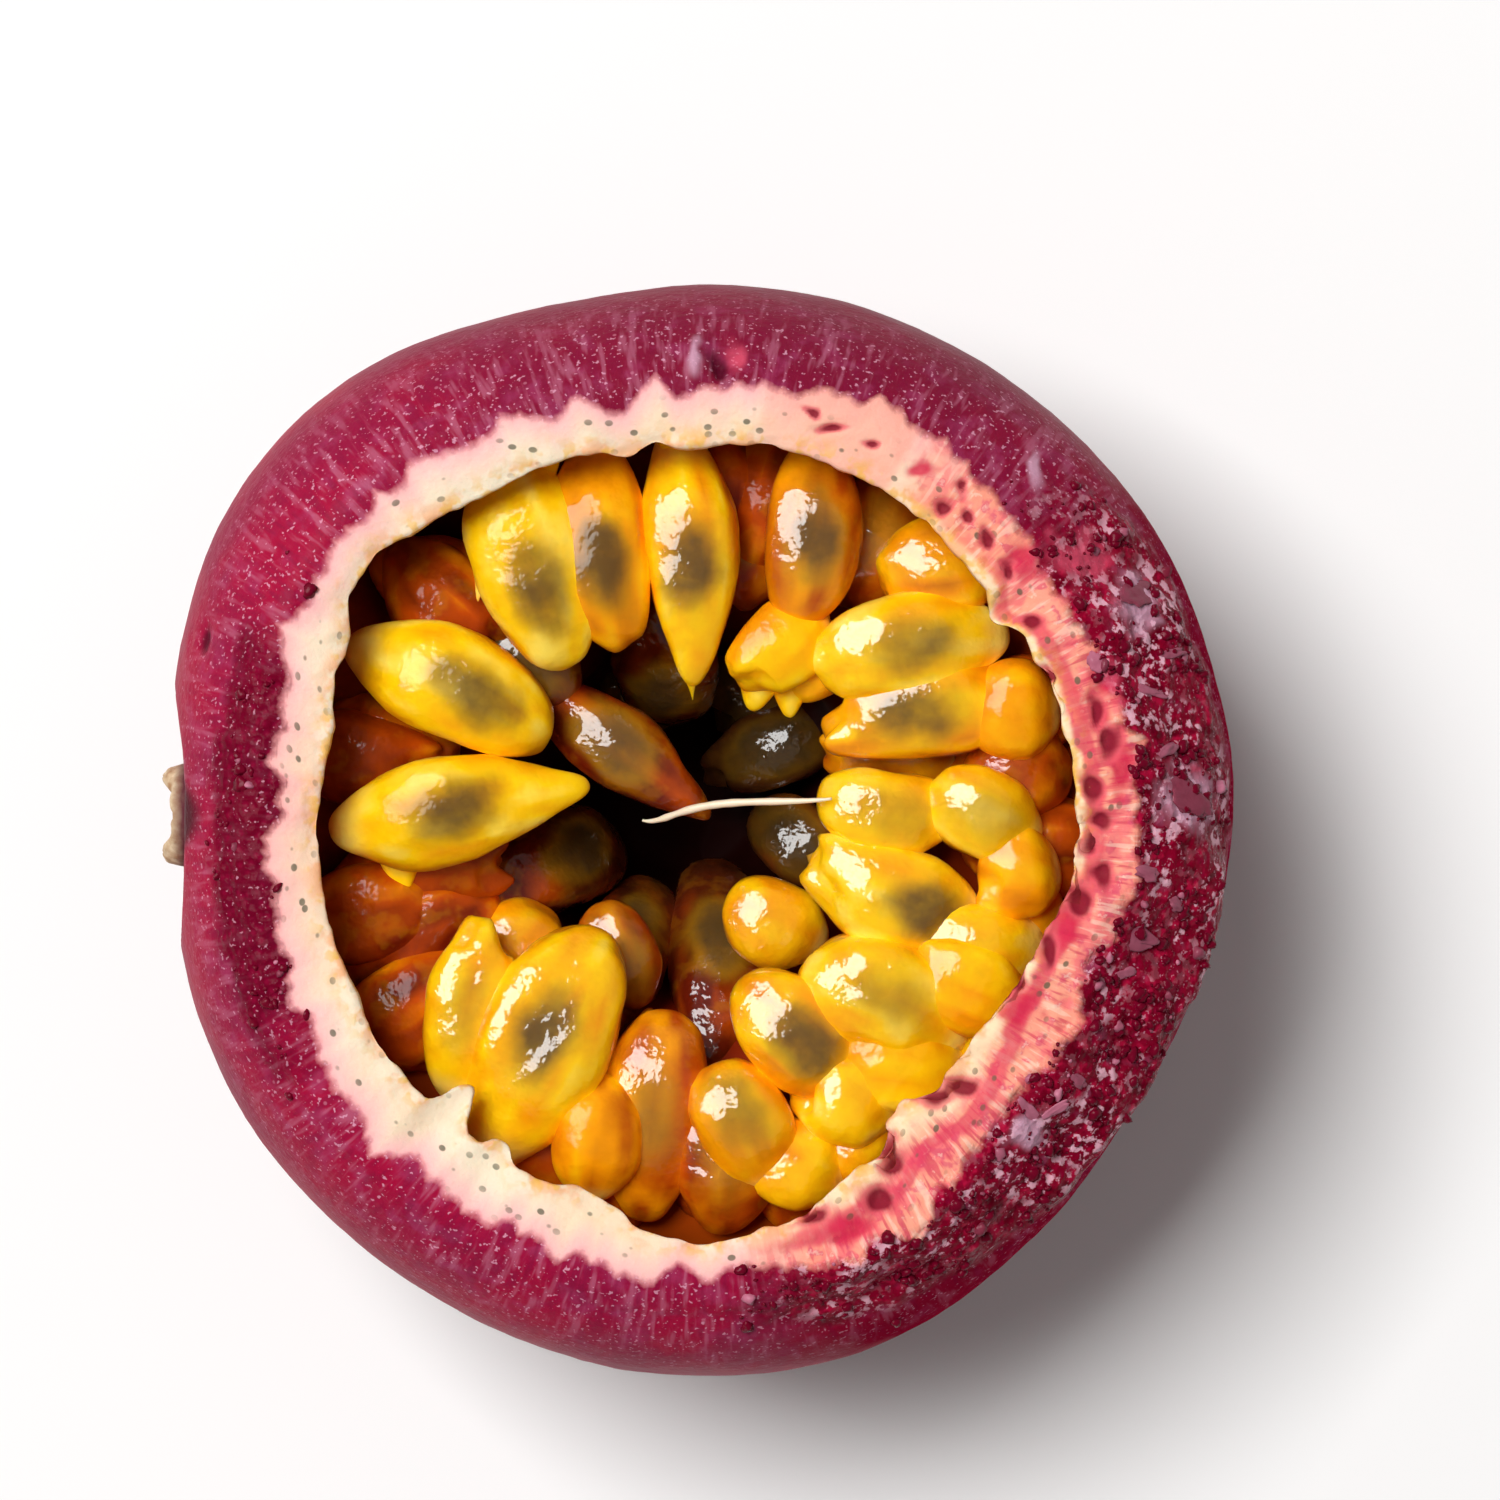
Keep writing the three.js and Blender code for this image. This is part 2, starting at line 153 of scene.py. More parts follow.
# An sRGB hex colour as linear RGBA.
def linearColour(hexText):
    part = np.array([int(hexText[i : i + 2], 16) for i in (0, 2, 4)]) / 255
    linear = np.where(part <= 0.04045, part / 12.92, ((part + 0.055) / 1.055) ** 2.4)
    return (*linear.tolist(), 1.0)


# Joins sockets to a node's inputs, by name or number.
def join(tree, node, links):
    for key, socket in links.items():
        tree.links.new(socket, node.inputs[key])


# One node with its settings, its fixed input values and its links, all by name or number.
def addNode(tree, kind, settings=None, values=None, links=None):
    node = tree.nodes.new(kind)
    for key, value in (settings or {}).items():
        setattr(node, key, value)
    for key, value in (values or {}).items():
        node.inputs[key].default_value = value
    join(tree, node, links or {})
    return node


# A new material with its surface, set to fixed values and joined to the output. Patterns join it later.
def newMaterial(name, values, settings=None):
    material = bpy.data.materials.new(name)
    material.use_nodes = True
    tree = material.node_tree
    tree.nodes.clear()
    surface = addNode(tree, "ShaderNodeBsdfPrincipled", settings, values)
    addNode(tree, "ShaderNodeOutputMaterial", links={"Surface": surface.outputs[0]})
    return material, tree, surface


# Sets a new colour ramp's stops, (place, tone) from 0 to 1.
def setStops(ramp, stops):
    elements = ramp.color_ramp.elements
    for stop in stops[1:-1]:
        elements.new(stop[0])
    for element, stop in zip(elements, stops):
        element.color = linearColour(stop[1])


# Coats of colour laid over a first one. Each coat: the field that places it, where it starts and is full, the
# field that holds it back (or None), its strength and its tone.
def layCoats(tree, fields, colour, coats):
    for field, start, full, mask, strength, tone in coats:
        values = {1: start, 2: full, 4: strength}
        eased = {"interpolation_type": "SMOOTHSTEP"}
        share = addNode(tree, "ShaderNodeMapRange", eased, values, {0: fields[field]})
        if mask:
            product = {"operation": "MULTIPLY"}
            held = addNode(tree, "ShaderNodeMath", product, {1: strength}, {0: fields[mask]})
            join(tree, share, {4: held.outputs[0]})
        links = {0: share.outputs[0], 6: colour}
        mixed = addNode(tree, "ShaderNodeMix", {"data_type": "RGBA"}, {7: linearColour(tone)}, links)
        colour = mixed.outputs[2]
    return colour


# The bowl of rind and pith: sizes in mm, bearings in degrees.
bowl = {
    "equatorHeight": 22,
    "restingRadius": 6,
    "wallThickness": 4.2,
    "rimTurn": np.radians(65),
    "columns": 640,
    "rows": {"spot": 3, "lower": 26, "upper": 40, "band": 30, "pith": 26, "innerUpper": 12, "innerLower": 10},
    "cornerSoftening": 3,
    "outlines": {  # mean, then swellings as (bearing, reach, rise)
        "equator": (25.6, (65, 70, 0.6), (137, 42, 1.9), (182, 25, -0.4), (278, 40, 0.4), (330, 42, -1.1)),
        "skinEdge": (22.5, (15, 75, 1.9), (137, 35, 1.1), (182, 30, -0.5), (330, 50, 0.9)),
        "skinEdgeHeight": (31.3, (350, 95, -4)),
        "pithEdge": (20.6, (135, 40, 1.5), (182, 30, -0.5), (218, 25, 0.4), (288, 25, 0.5), (328, 36, -1.1)),
        "pithEdgeHeight": (32.4, (350, 95, -1)),
        "mouth": (17.4, (75, 35, 0.7), (112, 24, 0.9), (141, 26, 2.1), (271, 26, 1.3), (323, 42, -1.8)),
        "mouthHeight": (32, (350, 95, -0.4)),
    },
    "fingers": [  # of pith, reaching in to the roots of the sacs: bearing, half width, length
        (227.4, 3.6, 1.7), (229.8, 3, 0.9), (238, 4, 0.8), (252, 5, 0.6), (257, 5, 0.6), (151, 6, 0.6),
        (36, 4.5, 1.0), (306, 8, 0.9), (101, 5, 0.5),
    ],
    "fingerShares": {"mouth": -1, "mouthHeight": -0.6},  # how far an outline moves for a finger's length
    "skinWaves": (7.0, 0.16),  # size and height of the soft dimples
    "skinGrain": (0.8, 0.03),
    "granule": 0.62,  # size of the grains of cut flesh
    "granuleHeight": 0.16,
    "lobes": ((1.9, 0.62), (0.95, 0.4)),  # spacing and depth of the lobes where red flesh meets pith
    "bays": ((66, 34, 1.3), (10, 30, 0.2)),  # where the pith pushes the lobes back: bearing, reach, depth
    "stretches": {  # middle bearing, then where the stretch starts, is full, ends to fade and is gone
        "left": (180, -36, -12, 16, 34),  # dark wet flesh
        "right": (0, -86, -70, 30, 52),
        "salmon": (0, -60, -40, 48, 66),  # torn pith
    },
    "fray": 7,  # how unevenly a stretch ends
    "ringRadius": 20,  # of the ring that patterns along the rim are drawn on
    "marks": {  # x, y, half size across x and y, depth
        "pit": [
            (19.1, 4.2, 0.4, 0.6, 0.5), (18.4, 2.0, 0.3, 0.5, 0.5), (18.6, 0.7, 0.5, 0.3, 0.4),
            (17.9, -0.2, 0.25, 0.4, 0.5), (17.6, -3.1, 0.4, 0.6, 0.6), (18.5, 5.6, 0.4, 0.6, 0.4),
            (15.6, 9.7, 0.4, 0.3, 0.4), (14.6, -6.7, 0.4, 0.5, 0.5), (7.7, -14.3, 0.9, 0.4, 0.6),
            (9.0, -15.3, 0.5, 0.5, 0.5), (8.3, -17.0, 0.6, 0.5, 0.5), (11.0, -12.2, 0.6, 0.4, 0.4),
            (12.1, -11.6, 0.7, 0.4, 0.4), (12.4, 16.0, 0.2, 0.3, 0.5), (12.4, 14.7, 0.2, 0.22, 0.4),
            (11.3, 15.1, 0.22, 0.3, 0.5), (13.2, 13.7, 0.25, 0.3, 0.5), (6.1, 18.9, 0.5, 0.16, 0.4),
            (16.2, -5.4, 0.35, 0.6, 0.4), (14.3, 12.1, 0.2, 0.3, 0.4), (16.0, 7.4, 0.2, 0.3, 0.4),
            (18.9, -1.9, 0.3, 0.5, 0.4), (5.3, -17.6, 0.7, 0.4, 0.4), (-23.2, 9.0, 0.35, 0.5, 0.4),
            (0.9, 21.9, 0.28, 0.8, 0.6), (8.2, 17.9, 0.3, 0.16, 0.3), (5.2, 19.6, 0.2, 0.14, 0.2),
        ],
        "rawRed": [
            (1.8, 22.2, 0.42, 0.6, 0.1), (16.9, -4.2, 0.7, 1.2, 0.1), (14.9, -8.2, 0.8, 0.8, 0.1),
            (19.0, 7.2, 0.8, 1.0, 0.1), (18.7, 5.3, 0.5, 0.7, 0.1), (15.0, 12.6, 0.7, 0.7, 0.1),
            (10.2, 16.9, 0.7, 0.4, 0.1), (19.6, 3.2, 0.5, 1.2, 0.1), (17.8, 12.8, 1.3, 1.0, 0.1),
            (6.9, -18.2, 1.0, 0.6, 0.1),
        ],
        "bruised": [
            (-0.1, 21.9, 0.36, 0.9, -0.25), (20.4, 10.9, 0.9, 1.3, -0.2), (15.8, 16.8, 0.3, 0.9, -0.1),
            (22.8, 1.6, 1.2, 1.3, -0.25), (-9.4, -14.1, 0.5, 0.5, -0.1), (-16.8, 9.2, 0.6, 0.5, -0.2),
            (15.2, -13.8, 0.9, 0.7, -0.1),
        ],
    },
    "stalk": {"at": (-25, 0.8, 22), "reach": 6.5, "depth": 1.1, "socketReach": 2.9, "socketDepth": 1.7},
}


# An outline's radius or height at each bearing (degrees), with the fingers of pith.
def outlineAt(name, bearing):
    mean, *swellings = bowl["outlines"][name]
    share = bowl["fingerShares"].get(name, 0)
    fingers = sum(swell(bearing, at, reach, share * length) for at, reach, length in bowl["fingers"])
    return mean + sum(swell(bearing, *lobe) for lobe in swellings) + fingers


# Upper wall: r = e-(e-c)(1-cos t)/(1-cos T), z = h+(k-h) sin t/sin T, for t from 0 to the rim's turn T.
def upperArc(equator, edge, edgeHeight, share):
    turn = bowl["rimTurn"] * share
    full = bowl["rimTurn"]
    middle = bowl["equatorHeight"]
    r = equator - (equator - edge) * (1 - np.cos(turn)) / (1 - np.cos(full))
    return r, middle + (edgeHeight - middle) * np.sin(turn) / np.sin(full)


# Lower wall: r = f+(e-f) sin t, z = h-(h-b) cos t, for t from 0 to a quarter turn.
def lowerArc(flat, equator, floor, share):
    turn = np.pi / 2 * share
    middle = bowl["equatorHeight"]
    return flat + (equator - flat) * np.sin(turn), middle - (middle - floor) * np.cos(turn)


# The inner wall from its floor to the mouth, moved inwards by an inset; share runs 0..2 over both arcs.
def innerWall(bearing, inset, share):
    equator = outlineAt("equator", bearing) - bowl["wallThickness"] - inset
    mouth = outlineAt("mouth", bearing) - inset
    low = lowerArc(0, equator, bowl["wallThickness"] + inset, np.clip(share, 0, 1))
    high = upperArc(equator, mouth, outlineAt("mouthHeight", bearing), np.clip(share - 1, 0, 1))
    return tuple(np.where(share <= 1, a, b) for a, b in zip(low, high))


# The bowl's rows at every bearing, from the resting spot over the rim to the floor: r, z (rows, columns) and
# each row's zone.
def bowlRows(bearing):
    rows = bowl["rows"]
    equator = outlineAt("equator", bearing)
    edge = outlineAt("skinEdge", bearing), outlineAt("skinEdgeHeight", bearing)
    corner = outlineAt("pithEdge", bearing), outlineAt("pithEdgeHeight", bearing)
    lip = outlineAt("mouth", bearing), outlineAt("mouthHeight", bearing)

    def steps(name, first=0.0, last=1.0):
        return np.linspace(first, last, rows[name], endpoint=False)[:, None]

    def bridge(start, end, bump, share):
        r, z = (a + (b - a) * share for a, b in zip(start, end))
        return r, z + bump * np.sin(np.pi * share)

    spot = steps("spot") * 0.9 + 0.1
    parts = [
        (bowl["restingRadius"] * spot, 0 * spot),
        lowerArc(bowl["restingRadius"], equator, 0, steps("lower")),
        upperArc(equator, *edge, steps("upper")),
        bridge(edge, corner, 0.25, steps("band")),
        bridge(corner, lip, 0.15, steps("pith")),
        innerWall(bearing, 0, steps("innerUpper", 2, 1)),
        innerWall(bearing, 0, steps("innerLower", 1, 0.04)),
    ]
    parts = [np.broadcast_arrays(*part, bearing)[:2] for part in parts]
    r = np.concatenate([part[0] for part in parts])
    z = np.concatenate([part[1] for part in parts])
    zone = np.concatenate([np.full(len(part[0]), k) for k, part in enumerate(parts)])
    for _ in range(bowl["cornerSoftening"]):
        r[1:-1] = (r[:-2] + 2 * r[1:-1] + r[2:]) / 4
        z[1:-1] = (z[:-2] + 2 * z[1:-1] + z[2:]) / 4
    return r, np.maximum(z, 0), zone


# How far the red flesh reaches into the pith along the rim: lobes of depth (1 - 2 d^2), d the distance to the
# nearest cell point, less the bays.
def redLobes(ring, bearing):
    reach = 0.1 * softNoise(ring / 0.5, 12)
    for number, (spacing, depth) in enumerate(bowl["lobes"]):
        reach = reach + depth * (1 - 2 * np.minimum(cellDistance(ring / spacing, 11 + number), 1) ** 2)
    return reach - sum(swell(bearing, *bay) for bay in bowl["bays"])


# 0..1 over a named stretch of bearings, with ends that stray.
def stretchShare(name, bearing, stray):
    middle, start, full, fading, gone = bowl["stretches"][name]
    away = (bearing - middle + 180) % 360 - 180 + stray
    return smoothStep(start, full, away) * (1 - smoothStep(fading, gone, away))


# The marks of the torn flesh as fields, and how deep they sink it: bells exp(-0.7 d^2 (1 + 0.9 noise)), d the
# distance in half sizes.
def fleshMarks(points, uneven):
    onTop = smoothStep(24, 27, points[..., 2])
    warp = 0.3 * softNoise(points / 0.9, 44)
    fields = {}
    sunk = np.zeros(onTop.shape)
    for name, marks in bowl["marks"].items():
        fields[name] = np.zeros(onTop.shape)
        for x, y, halfX, halfY, depth in marks:
            away = np.hypot((points[..., 0] - x + warp) / halfX, (points[..., 1] - y - warp) / halfY)
            bell = onTop * np.exp(-0.7 * away**2 * (1 + 0.9 * uneven))
            sunk += depth * bell
            fields[name] = np.maximum(fields[name], bell)
    return fields, sunk


# The dent that the stalk left, a cosine bell, with the round socket of its scar: how far skin moves to +X.
def stalkDent(points):
    stalk = bowl["stalk"]
    away = np.linalg.norm(points - stalk["at"], axis=-1)
    dent = stalk["depth"] * np.cos(np.pi / 2 * np.clip(away / stalk["reach"], 0, 1))
    socket = 1 - smoothStep(stalk["socketReach"] - 0.5, stalk["socketReach"], away)
    return dent + stalk["socketDepth"] * socket


# The bowl's points and the fields that its material reads, as (rows, columns) arrays. The points are lifted
# along their normals by noises of the skin, the cut flesh, the pith and the lip.
def bowlSurface():
    bearing = np.arange(bowl["columns"]) * 360 / bowl["columns"]
    r, z, zone = bowlRows(bearing)
    angle = np.radians(bearing)
    points = np.stack([r * np.cos(angle), r * np.sin(angle), z], axis=-1)
    steps = np.linalg.norm(np.diff(points, axis=0), axis=-1)
    travel = np.concatenate([np.zeros((1, bowl["columns"])), np.cumsum(steps, axis=0)])
    edge, corner, lip = (travel[np.argmax(zone == k)] for k in (3, 4, 5))
    ring = bowl["ringRadius"] * np.stack([np.cos(angle), np.sin(angle), 0 * angle], axis=-1)
    intoPith = travel - corner - redLobes(ring, bearing)  # mm, positive on the pith
    ontoSkin = edge - travel  # mm, positive on the skin
    intoMouth = travel - lip  # mm, positive on the inner wall

    stray = bowl["fray"] * softNoise(points / 2.2, 18)
    left, right, salmon = (stretchShare(name, bearing, stray) for name in ("left", "right", "salmon"))
    outwards = np.maximum(0.7 + 0.5 * right + 0.6 * softNoise(points / 1.3, 13), 0.2)
    granular = (left + right) * (1 - smoothStep(-0.2, 2.4, ontoSkin / outwards)) * (intoPith < 0.1)
    onCut = (1 - smoothStep(0, 1.5, ontoSkin)) * (intoPith < 0)
    onPith = smoothStep(-0.1, 0.4, intoPith) * (intoMouth < 1.5)
    onLip = np.exp(-((intoMouth / 0.8) ** 2))
    uneven = layeredNoise(points / 0.7, 47, 2)
    fields, sunk = fleshMarks(points, uneven)

    relief = -sunk
    for seed, (size, height) in ((21, bowl["skinWaves"]), (23, bowl["skinGrain"])):
        relief += height * layeredNoise(points / size, seed, 2)
    grain = 0.5 - cellDistance(points / bowl["granule"], 31) + 0.7 * layeredNoise(points / 1.1, 33)
    relief += bowl["granuleHeight"] * grain * (0.3 * onCut + granular)
    relief += 0.5 * right * granular * softNoise(points / 2.4, 45)
    relief += onPith * (0.09 + 0.3 * right) * layeredNoise(points / 1.5, 41)
    relief += onLip * (0.25 * layeredNoise(points, 48, 2) + 0.2 * softNoise(points / 3, 49))
    points = points + relief[..., None] * gridNormals(points[None])[0] * (points[..., 2:] > 0.3)
    points[..., 0] += np.where(ontoSkin > 0, stalkDent(points), 0)

    blush = swell(bearing, 62, 42, 1.0) * smoothStep(-0.4, 0.3, softNoise(ring / 2.2, 14))
    tornPith = np.maximum(right, salmon)
    creamWidth = 1.1 + swell(bearing, 308, 34, 1.5)
    alongPith = (travel - corner) / (lip - corner)
    fields |= {
        "intoPith": intoPith,
        "ontoSkin": ontoSkin,
        "granular": granular,
        "torn": right,
        "inner": smoothStep(0.4, 2.2, intoMouth),
        "lip": np.exp(-((intoMouth / 0.9) ** 2)),
        "redLine": right * np.exp(-(((intoMouth + creamWidth - 0.3 * uneven) / 0.5) ** 2)),
        "cream": tornPith * (1 - smoothStep(0.35, 0.95, (0.25 * uneven - intoMouth) / creamWidth)),
        "veinLine": np.exp(-(((alongPith - 0.52) / 0.3) ** 2)) * (intoPith > 0),
        "plum": swell(bearing, 80, 75, 1.0),
        "blush": blush + swell(bearing, 178, 36, 0.35),
        "tornPith": tornPith,
        "ringX": ring[:, 0],
        "ringY": ring[:, 1],
        "travel": travel,
        # painted shade: an upright oval round the stalk scar, where the dent lies in shade, for the rind's
        # socket coat
        "socket": np.exp(-(np.linalg.norm((points - bowl["stalk"]["at"]) / (6, 2.4, 8.4), axis=-1) ** 6)),
    }
    return points, {name: np.broadcast_to(field, travel.shape) for name, field in fields.items()}


# The bowl as one closed body, from the pole under its resting spot to the pole of its inner floor.
def makeBowl(points, fields):
    ends = {key: (value[None], value[0, 0], value[-1, 0]) for key, value in fields.items()}
    piece = closedBodies("rindBowl", points[None], (0, 0, 0), (0, 0, bowl["wallThickness"]), ends)
    register(piece, "rind", "shell")
    return piece


# Lumps seated on a surface: a sin g cos f, -b cos g, c sin g sin f along two tangents and the normal, swollen
# by noise. Sizes are half lengths (count, 3) in mm; paleness becomes an attribute: thin tissue on shreds,
# painted glints on grains.
def seatedLumps(name, centres, normals, heading, sizes, rough, paleTissueAndGlint, grid):
    g = np.pi * (np.arange(grid[0]) + 0.5)[:, None] / grid[0]
    f = fullTurn * np.arange(grid[1]) / grid[1]
    ball = np.stack(np.broadcast_arrays(np.sin(g) * np.cos(f), -np.cos(g), np.sin(g) * np.sin(f)), axis=-1)
    shift = 9 * np.arange(len(centres))[:, None, None, None]
    swollen = 1 + rough * layeredNoise(ball[None] * 1.3 + shift + 0.37, 91, 2)
    local = ball[None] * swollen[..., None] * sizes[:, None, None]
    first = np.cross(normals, heading)
    first /= np.linalg.norm(first, axis=1)[:, None]
    axes = np.stack([first, np.cross(first, normals), normals], axis=1)
    rings = np.einsum("crsk,ckx->crsx", local, axes) + centres[:, None, None]
    reach = sizes[:, 1:2] * axes[:, 1]
    values = {"paleTissueAndGlint": (paleTissueAndGlint[:, None, None], paleTissueAndGlint, paleTissueAndGlint)}
    piece = closedBodies(name, rings, centres - reach, centres + reach, values)
    register(piece, "rind", "shell")
    return piece


grains = {"seed": 5, "count": 650, "size": (0.07, 0.27), "rough": 0.6, "glintShare": 0.1, "grid": (8, 10)}


# Grains of wet flesh: beads set on the dark band, the larger the rarer; the few pale pink ones are painted
# glints.
def makeGrains(points, fields):
    generator = np.random.default_rng(grains["seed"])
    normal = gridNormals(points[None])[0]
    clumps = smoothStep(-0.3, 0.5, softNoise(points / 1.6, 46))
    level = smoothStep(0.3, 0.6, normal[..., 2])
    chance = (fields["granular"] * (0.15 + clumps) * level * (0.2 + 0.8 * fields["torn"])).reshape(-1)
    chosen = generator.choice(len(chance), grains["count"], False, chance / chance.sum())
    small, large = grains["size"]
    size = small + (large - small) * generator.random(grains["count"]) ** 2.5
    sizes = size[:, None] * (0.8 + 0.7 * generator.random((grains["count"], 3)))
    # painted glints: a few grains are made pale pink
    paleTissueAndGlint = (generator.random(grains["count"]) < grains["glintShare"]) * generator.random(grains["count"])
    heading = generator.normal(size=(grains["count"], 3))
    centres = points.reshape(-1, 3)[chosen]
    normals = normal.reshape(-1, 3)[chosen]
    return seatedLumps("wetGrains", centres, normals, heading, sizes, grains["rough"], paleTissueAndGlint, grains["grid"])


shreds = {
    "tilt": 0.16,
    "thickness": 0.1,
    "rough": 0.75,
    "grid": (16, 24),
    "at": [  # x, y, half length, half width, heading in degrees, paleness
        (18.3, 8.1, 0.5, 0.4, 20, 0.9), (21.0, 6.6, 0.8, 0.25, 80, 0.7), (22.2, 8.4, 0.7, 0.22, 100, 0.6),
        (21.8, 3.9, 0.7, 0.25, 120, 0.6), (22.9, 1.6, 1.3, 0.8, 60, 0.3), (20.8, -1.9, 0.7, 0.35, 90, 0.6),
        (20.3, -4.8, 1.0, 0.5, 70, 0.5), (17.6, -11.4, 0.6, 0.3, 60, 0.6), (15.3, -12.9, 1.0, 0.25, 39, 0.9),
        (20.4, 11.2, 1.2, 0.6, 120, 0.3), (19.9, -6.4, 0.5, 0.25, 100, 0.7), (22.3, -3.2, 0.5, 0.3, 60, 0.6),
        (16.4, -13.0, 0.9, 0.25, -58, 1.0),
    ],
}


# Shreds of torn membrane: thin uneven lenses on the band, each tilted a little off the surface.
def makeShreds(points):
    x, y, halfLength, halfWidth, bearing, paleTissueAndGlint = np.array(shreds["at"]).T
    level = 0 * x
    normal = gridNormals(points[None])[0].reshape(-1, 3)
    flat = points.reshape(-1, 3)
    below = np.where(normal[:, 2] > 0.2, 0.0, 99.0)
    nearest = (np.hypot(flat[:, 0] - x[:, None], flat[:, 1] - y[:, None]) + below).argmin(axis=1)
    turn = np.radians(bearing)
    heading = np.stack([np.cos(turn), np.sin(turn), level], axis=1)
    normals = normal[nearest] + shreds["tilt"] * np.array([-0.7, 0.5, 0])
    normals /= np.linalg.norm(normals, axis=1)[:, None]
    sizes = np.stack([halfWidth, halfLength, level + shreds["thickness"]], axis=1)
    centres = flat[nearest] + 0.3 * normals * shreds["thickness"]
    sideways = np.cross(normals, heading)
    return seatedLumps(
        "tornShreds", centres, normals, sideways, sizes, shreds["rough"], 0.7 * paleTissueAndGlint, shreds["grid"]
    )


# Wet cut flesh of the rind, broken into grains and shreds: maroon gel, pale pink where a shred is torn thin
# and on the grains that are painted glints.
def makeFleshMaterial():
    wet = {
        "IOR": 1.38,
        "Roughness": 0.25,
        "Specular IOR Level": 0.08,
        "Coat Weight": 0.1,
        "Coat Roughness": 0.1,
    }
    material, tree, surface = newMaterial("wetTornFlesh", wet)
    place = addNode(tree, "ShaderNodeTexCoord").outputs["Object"]
    # pale pink: thin tissue on the shreds, painted glints on the grains
    paleTissueAndGlint = addNode(tree, "ShaderNodeAttribute", {"attribute_name": "paleTissueAndGlint"}).outputs["Fac"]
    values = {"Scale": 1 / (0.6 * mm), "Detail": 3.0}
    noise = addNode(tree, "ShaderNodeTexNoise", None, values, {"Vector": place}).outputs["Fac"]
    uneven = addNode(tree, "ShaderNodeMath", {"operation": "ADD"}, {1: 0.5}, {0: noise})
    share = addNode(tree, "ShaderNodeMath", {"operation": "MULTIPLY"}, links={0: paleTissueAndGlint, 1: uneven.outputs[0]})
    tones = {6: linearColour("6a0420"), 7: linearColour("cc7c94")}
    colour = addNode(tree, "ShaderNodeMix", {"data_type": "RGBA"}, tones, {0: share.outputs[0]})
    bump = addNode(tree, "ShaderNodeBump", None, {"Strength": 0.5, "Distance": 0.15 * mm}, {"Height": noise})
    join(tree, surface, {"Base Color": colour.outputs[2], "Normal": bump.outputs[0]})
    return material


# Each layer of the rind: its first colour, then its coats as layCoats takes them.
rindCoats = {
    "red": ("a20e38", [
        ("cloud", 0.36, 0.64, None, 0.8, "8c143c"),
        ("plum", 0.0, 1.0, None, 0.8, "76142f"),
        ("torn", 0.0, 1.0, None, 0.8, "8c0a28"),
        ("onSide", 0.0, 1.0, None, 0.6, "84123a"),
        ("cloud", 0.45, 0.6, "onSide", 0.6, "64102e"),
        ("mottle", 0.55, 0.68, "onSide", 0.35, "b03a60"),
        ("specksAndGlints", 0.66, 0.72, "onSide", 0.3, "d88aa4"),
        ("mottle", 0.48, 0.68, "nearCut", 0.35, "a84470"),
        ("streak", 0.5, 0.7, "nearCut", 0.35, "c87a96"),
        ("streak", 0.5, 0.32, "nearCut", 0.45, "7c1238"),
        ("specksAndGlints", 0.63, 0.71, "nearCut", 0.7, "dc9cb4"),
        ("pore", 0.12, 0.06, None, 0.35, "d88aa4"),
        ("granular", 0.0, 0.9, None, 0.85, "62021c"),
        ("onTorn", 0.0, 1.0, None, 0.75, "8c0426"),
        ("grain", 0.5, 0.15, "onFlesh", 0.5, "8c0c34"),
        ("blotch", 0.52, 0.64, "onTorn", 0.8, "b4143c"),
        ("mottle", 0.46, 0.34, "onTorn", 0.65, "500010"),
        ("mottle", 0.58, 0.68, "cluster", 0.5, "a04c6c"),
        # painted glints: pale pink highlights painted in clusters, then as single specks over all the wet cut
        # flesh
        ("glint", 0.52, 0.6, "cluster", 0.9, "e8b0c0"),
        ("specksAndGlints", 0.66, 0.72, "onFlesh", 0.6, "d090a4"),
        ("rawRed", 0.2, 0.9, None, 0.85, "d04c66"),
        ("bruised", 0.2, 0.9, None, 0.8, "d0a0b6"),
        ("pit", 0.25, 0.8, None, 0.9, "50061e"),
        # painted shade of the dent round the stalk scar
        ("socket", 0.2, 0.7, None, 0.95, "420010"),
    ]),
    "pith": ("f4e2c6", [
        ("cloud", 0.35, 0.65, None, 0.7, "f6d6b4"),
        ("intoPith", 2.0, 0.0, None, 0.85, "f8b6b8"),
        ("intoPith", 0.5, -0.3, None, 0.6, "ee7c8c"),
        ("blush", 0.0, 1.0, None, 0.8, "f6a894"),
        ("tornPith", 0.0, 1.0, None, 0.85, "f8987c"),
        ("mottle", 0.45, 0.6, "tornPith", 0.8, "f07478"),
        ("streak", 0.54, 0.66, "torn", 0.7, "d03c58"),
        ("blotch", 0.54, 0.64, "tornPith", 0.7, "d8506c"),
        ("streak", 0.46, 0.36, "tornPith", 0.5, "fbd8c0"),
        ("fine", 0.6, 0.7, "tornPith", 0.4, "fbe0c8"),
        ("cream", 0.0, 1.0, None, 0.85, "fde4bc"),
        ("redLine", 0.25, 0.8, None, 0.75, "d8405c"),
        ("mottle", 0.45, 0.6, "lip", 0.85, "f4a468"),
        ("blotch", 0.5, 0.62, "lip", 0.8, "ecb438"),
        ("vessel", 0.23, 0.15, "veinLine", 0.85, "5e5e4a"),
        ("rawRed", 0.1, 0.8, None, 0.9, "d0284c"),
        ("pit", 0.02, 0.3, None, 0.75, "e05c68"),
        ("pit", 0.25, 0.7, None, 0.9, "80142a"),
        ("inner", 0.0, 1.0, None, 1.0, "b03a06"),
    ]),
}
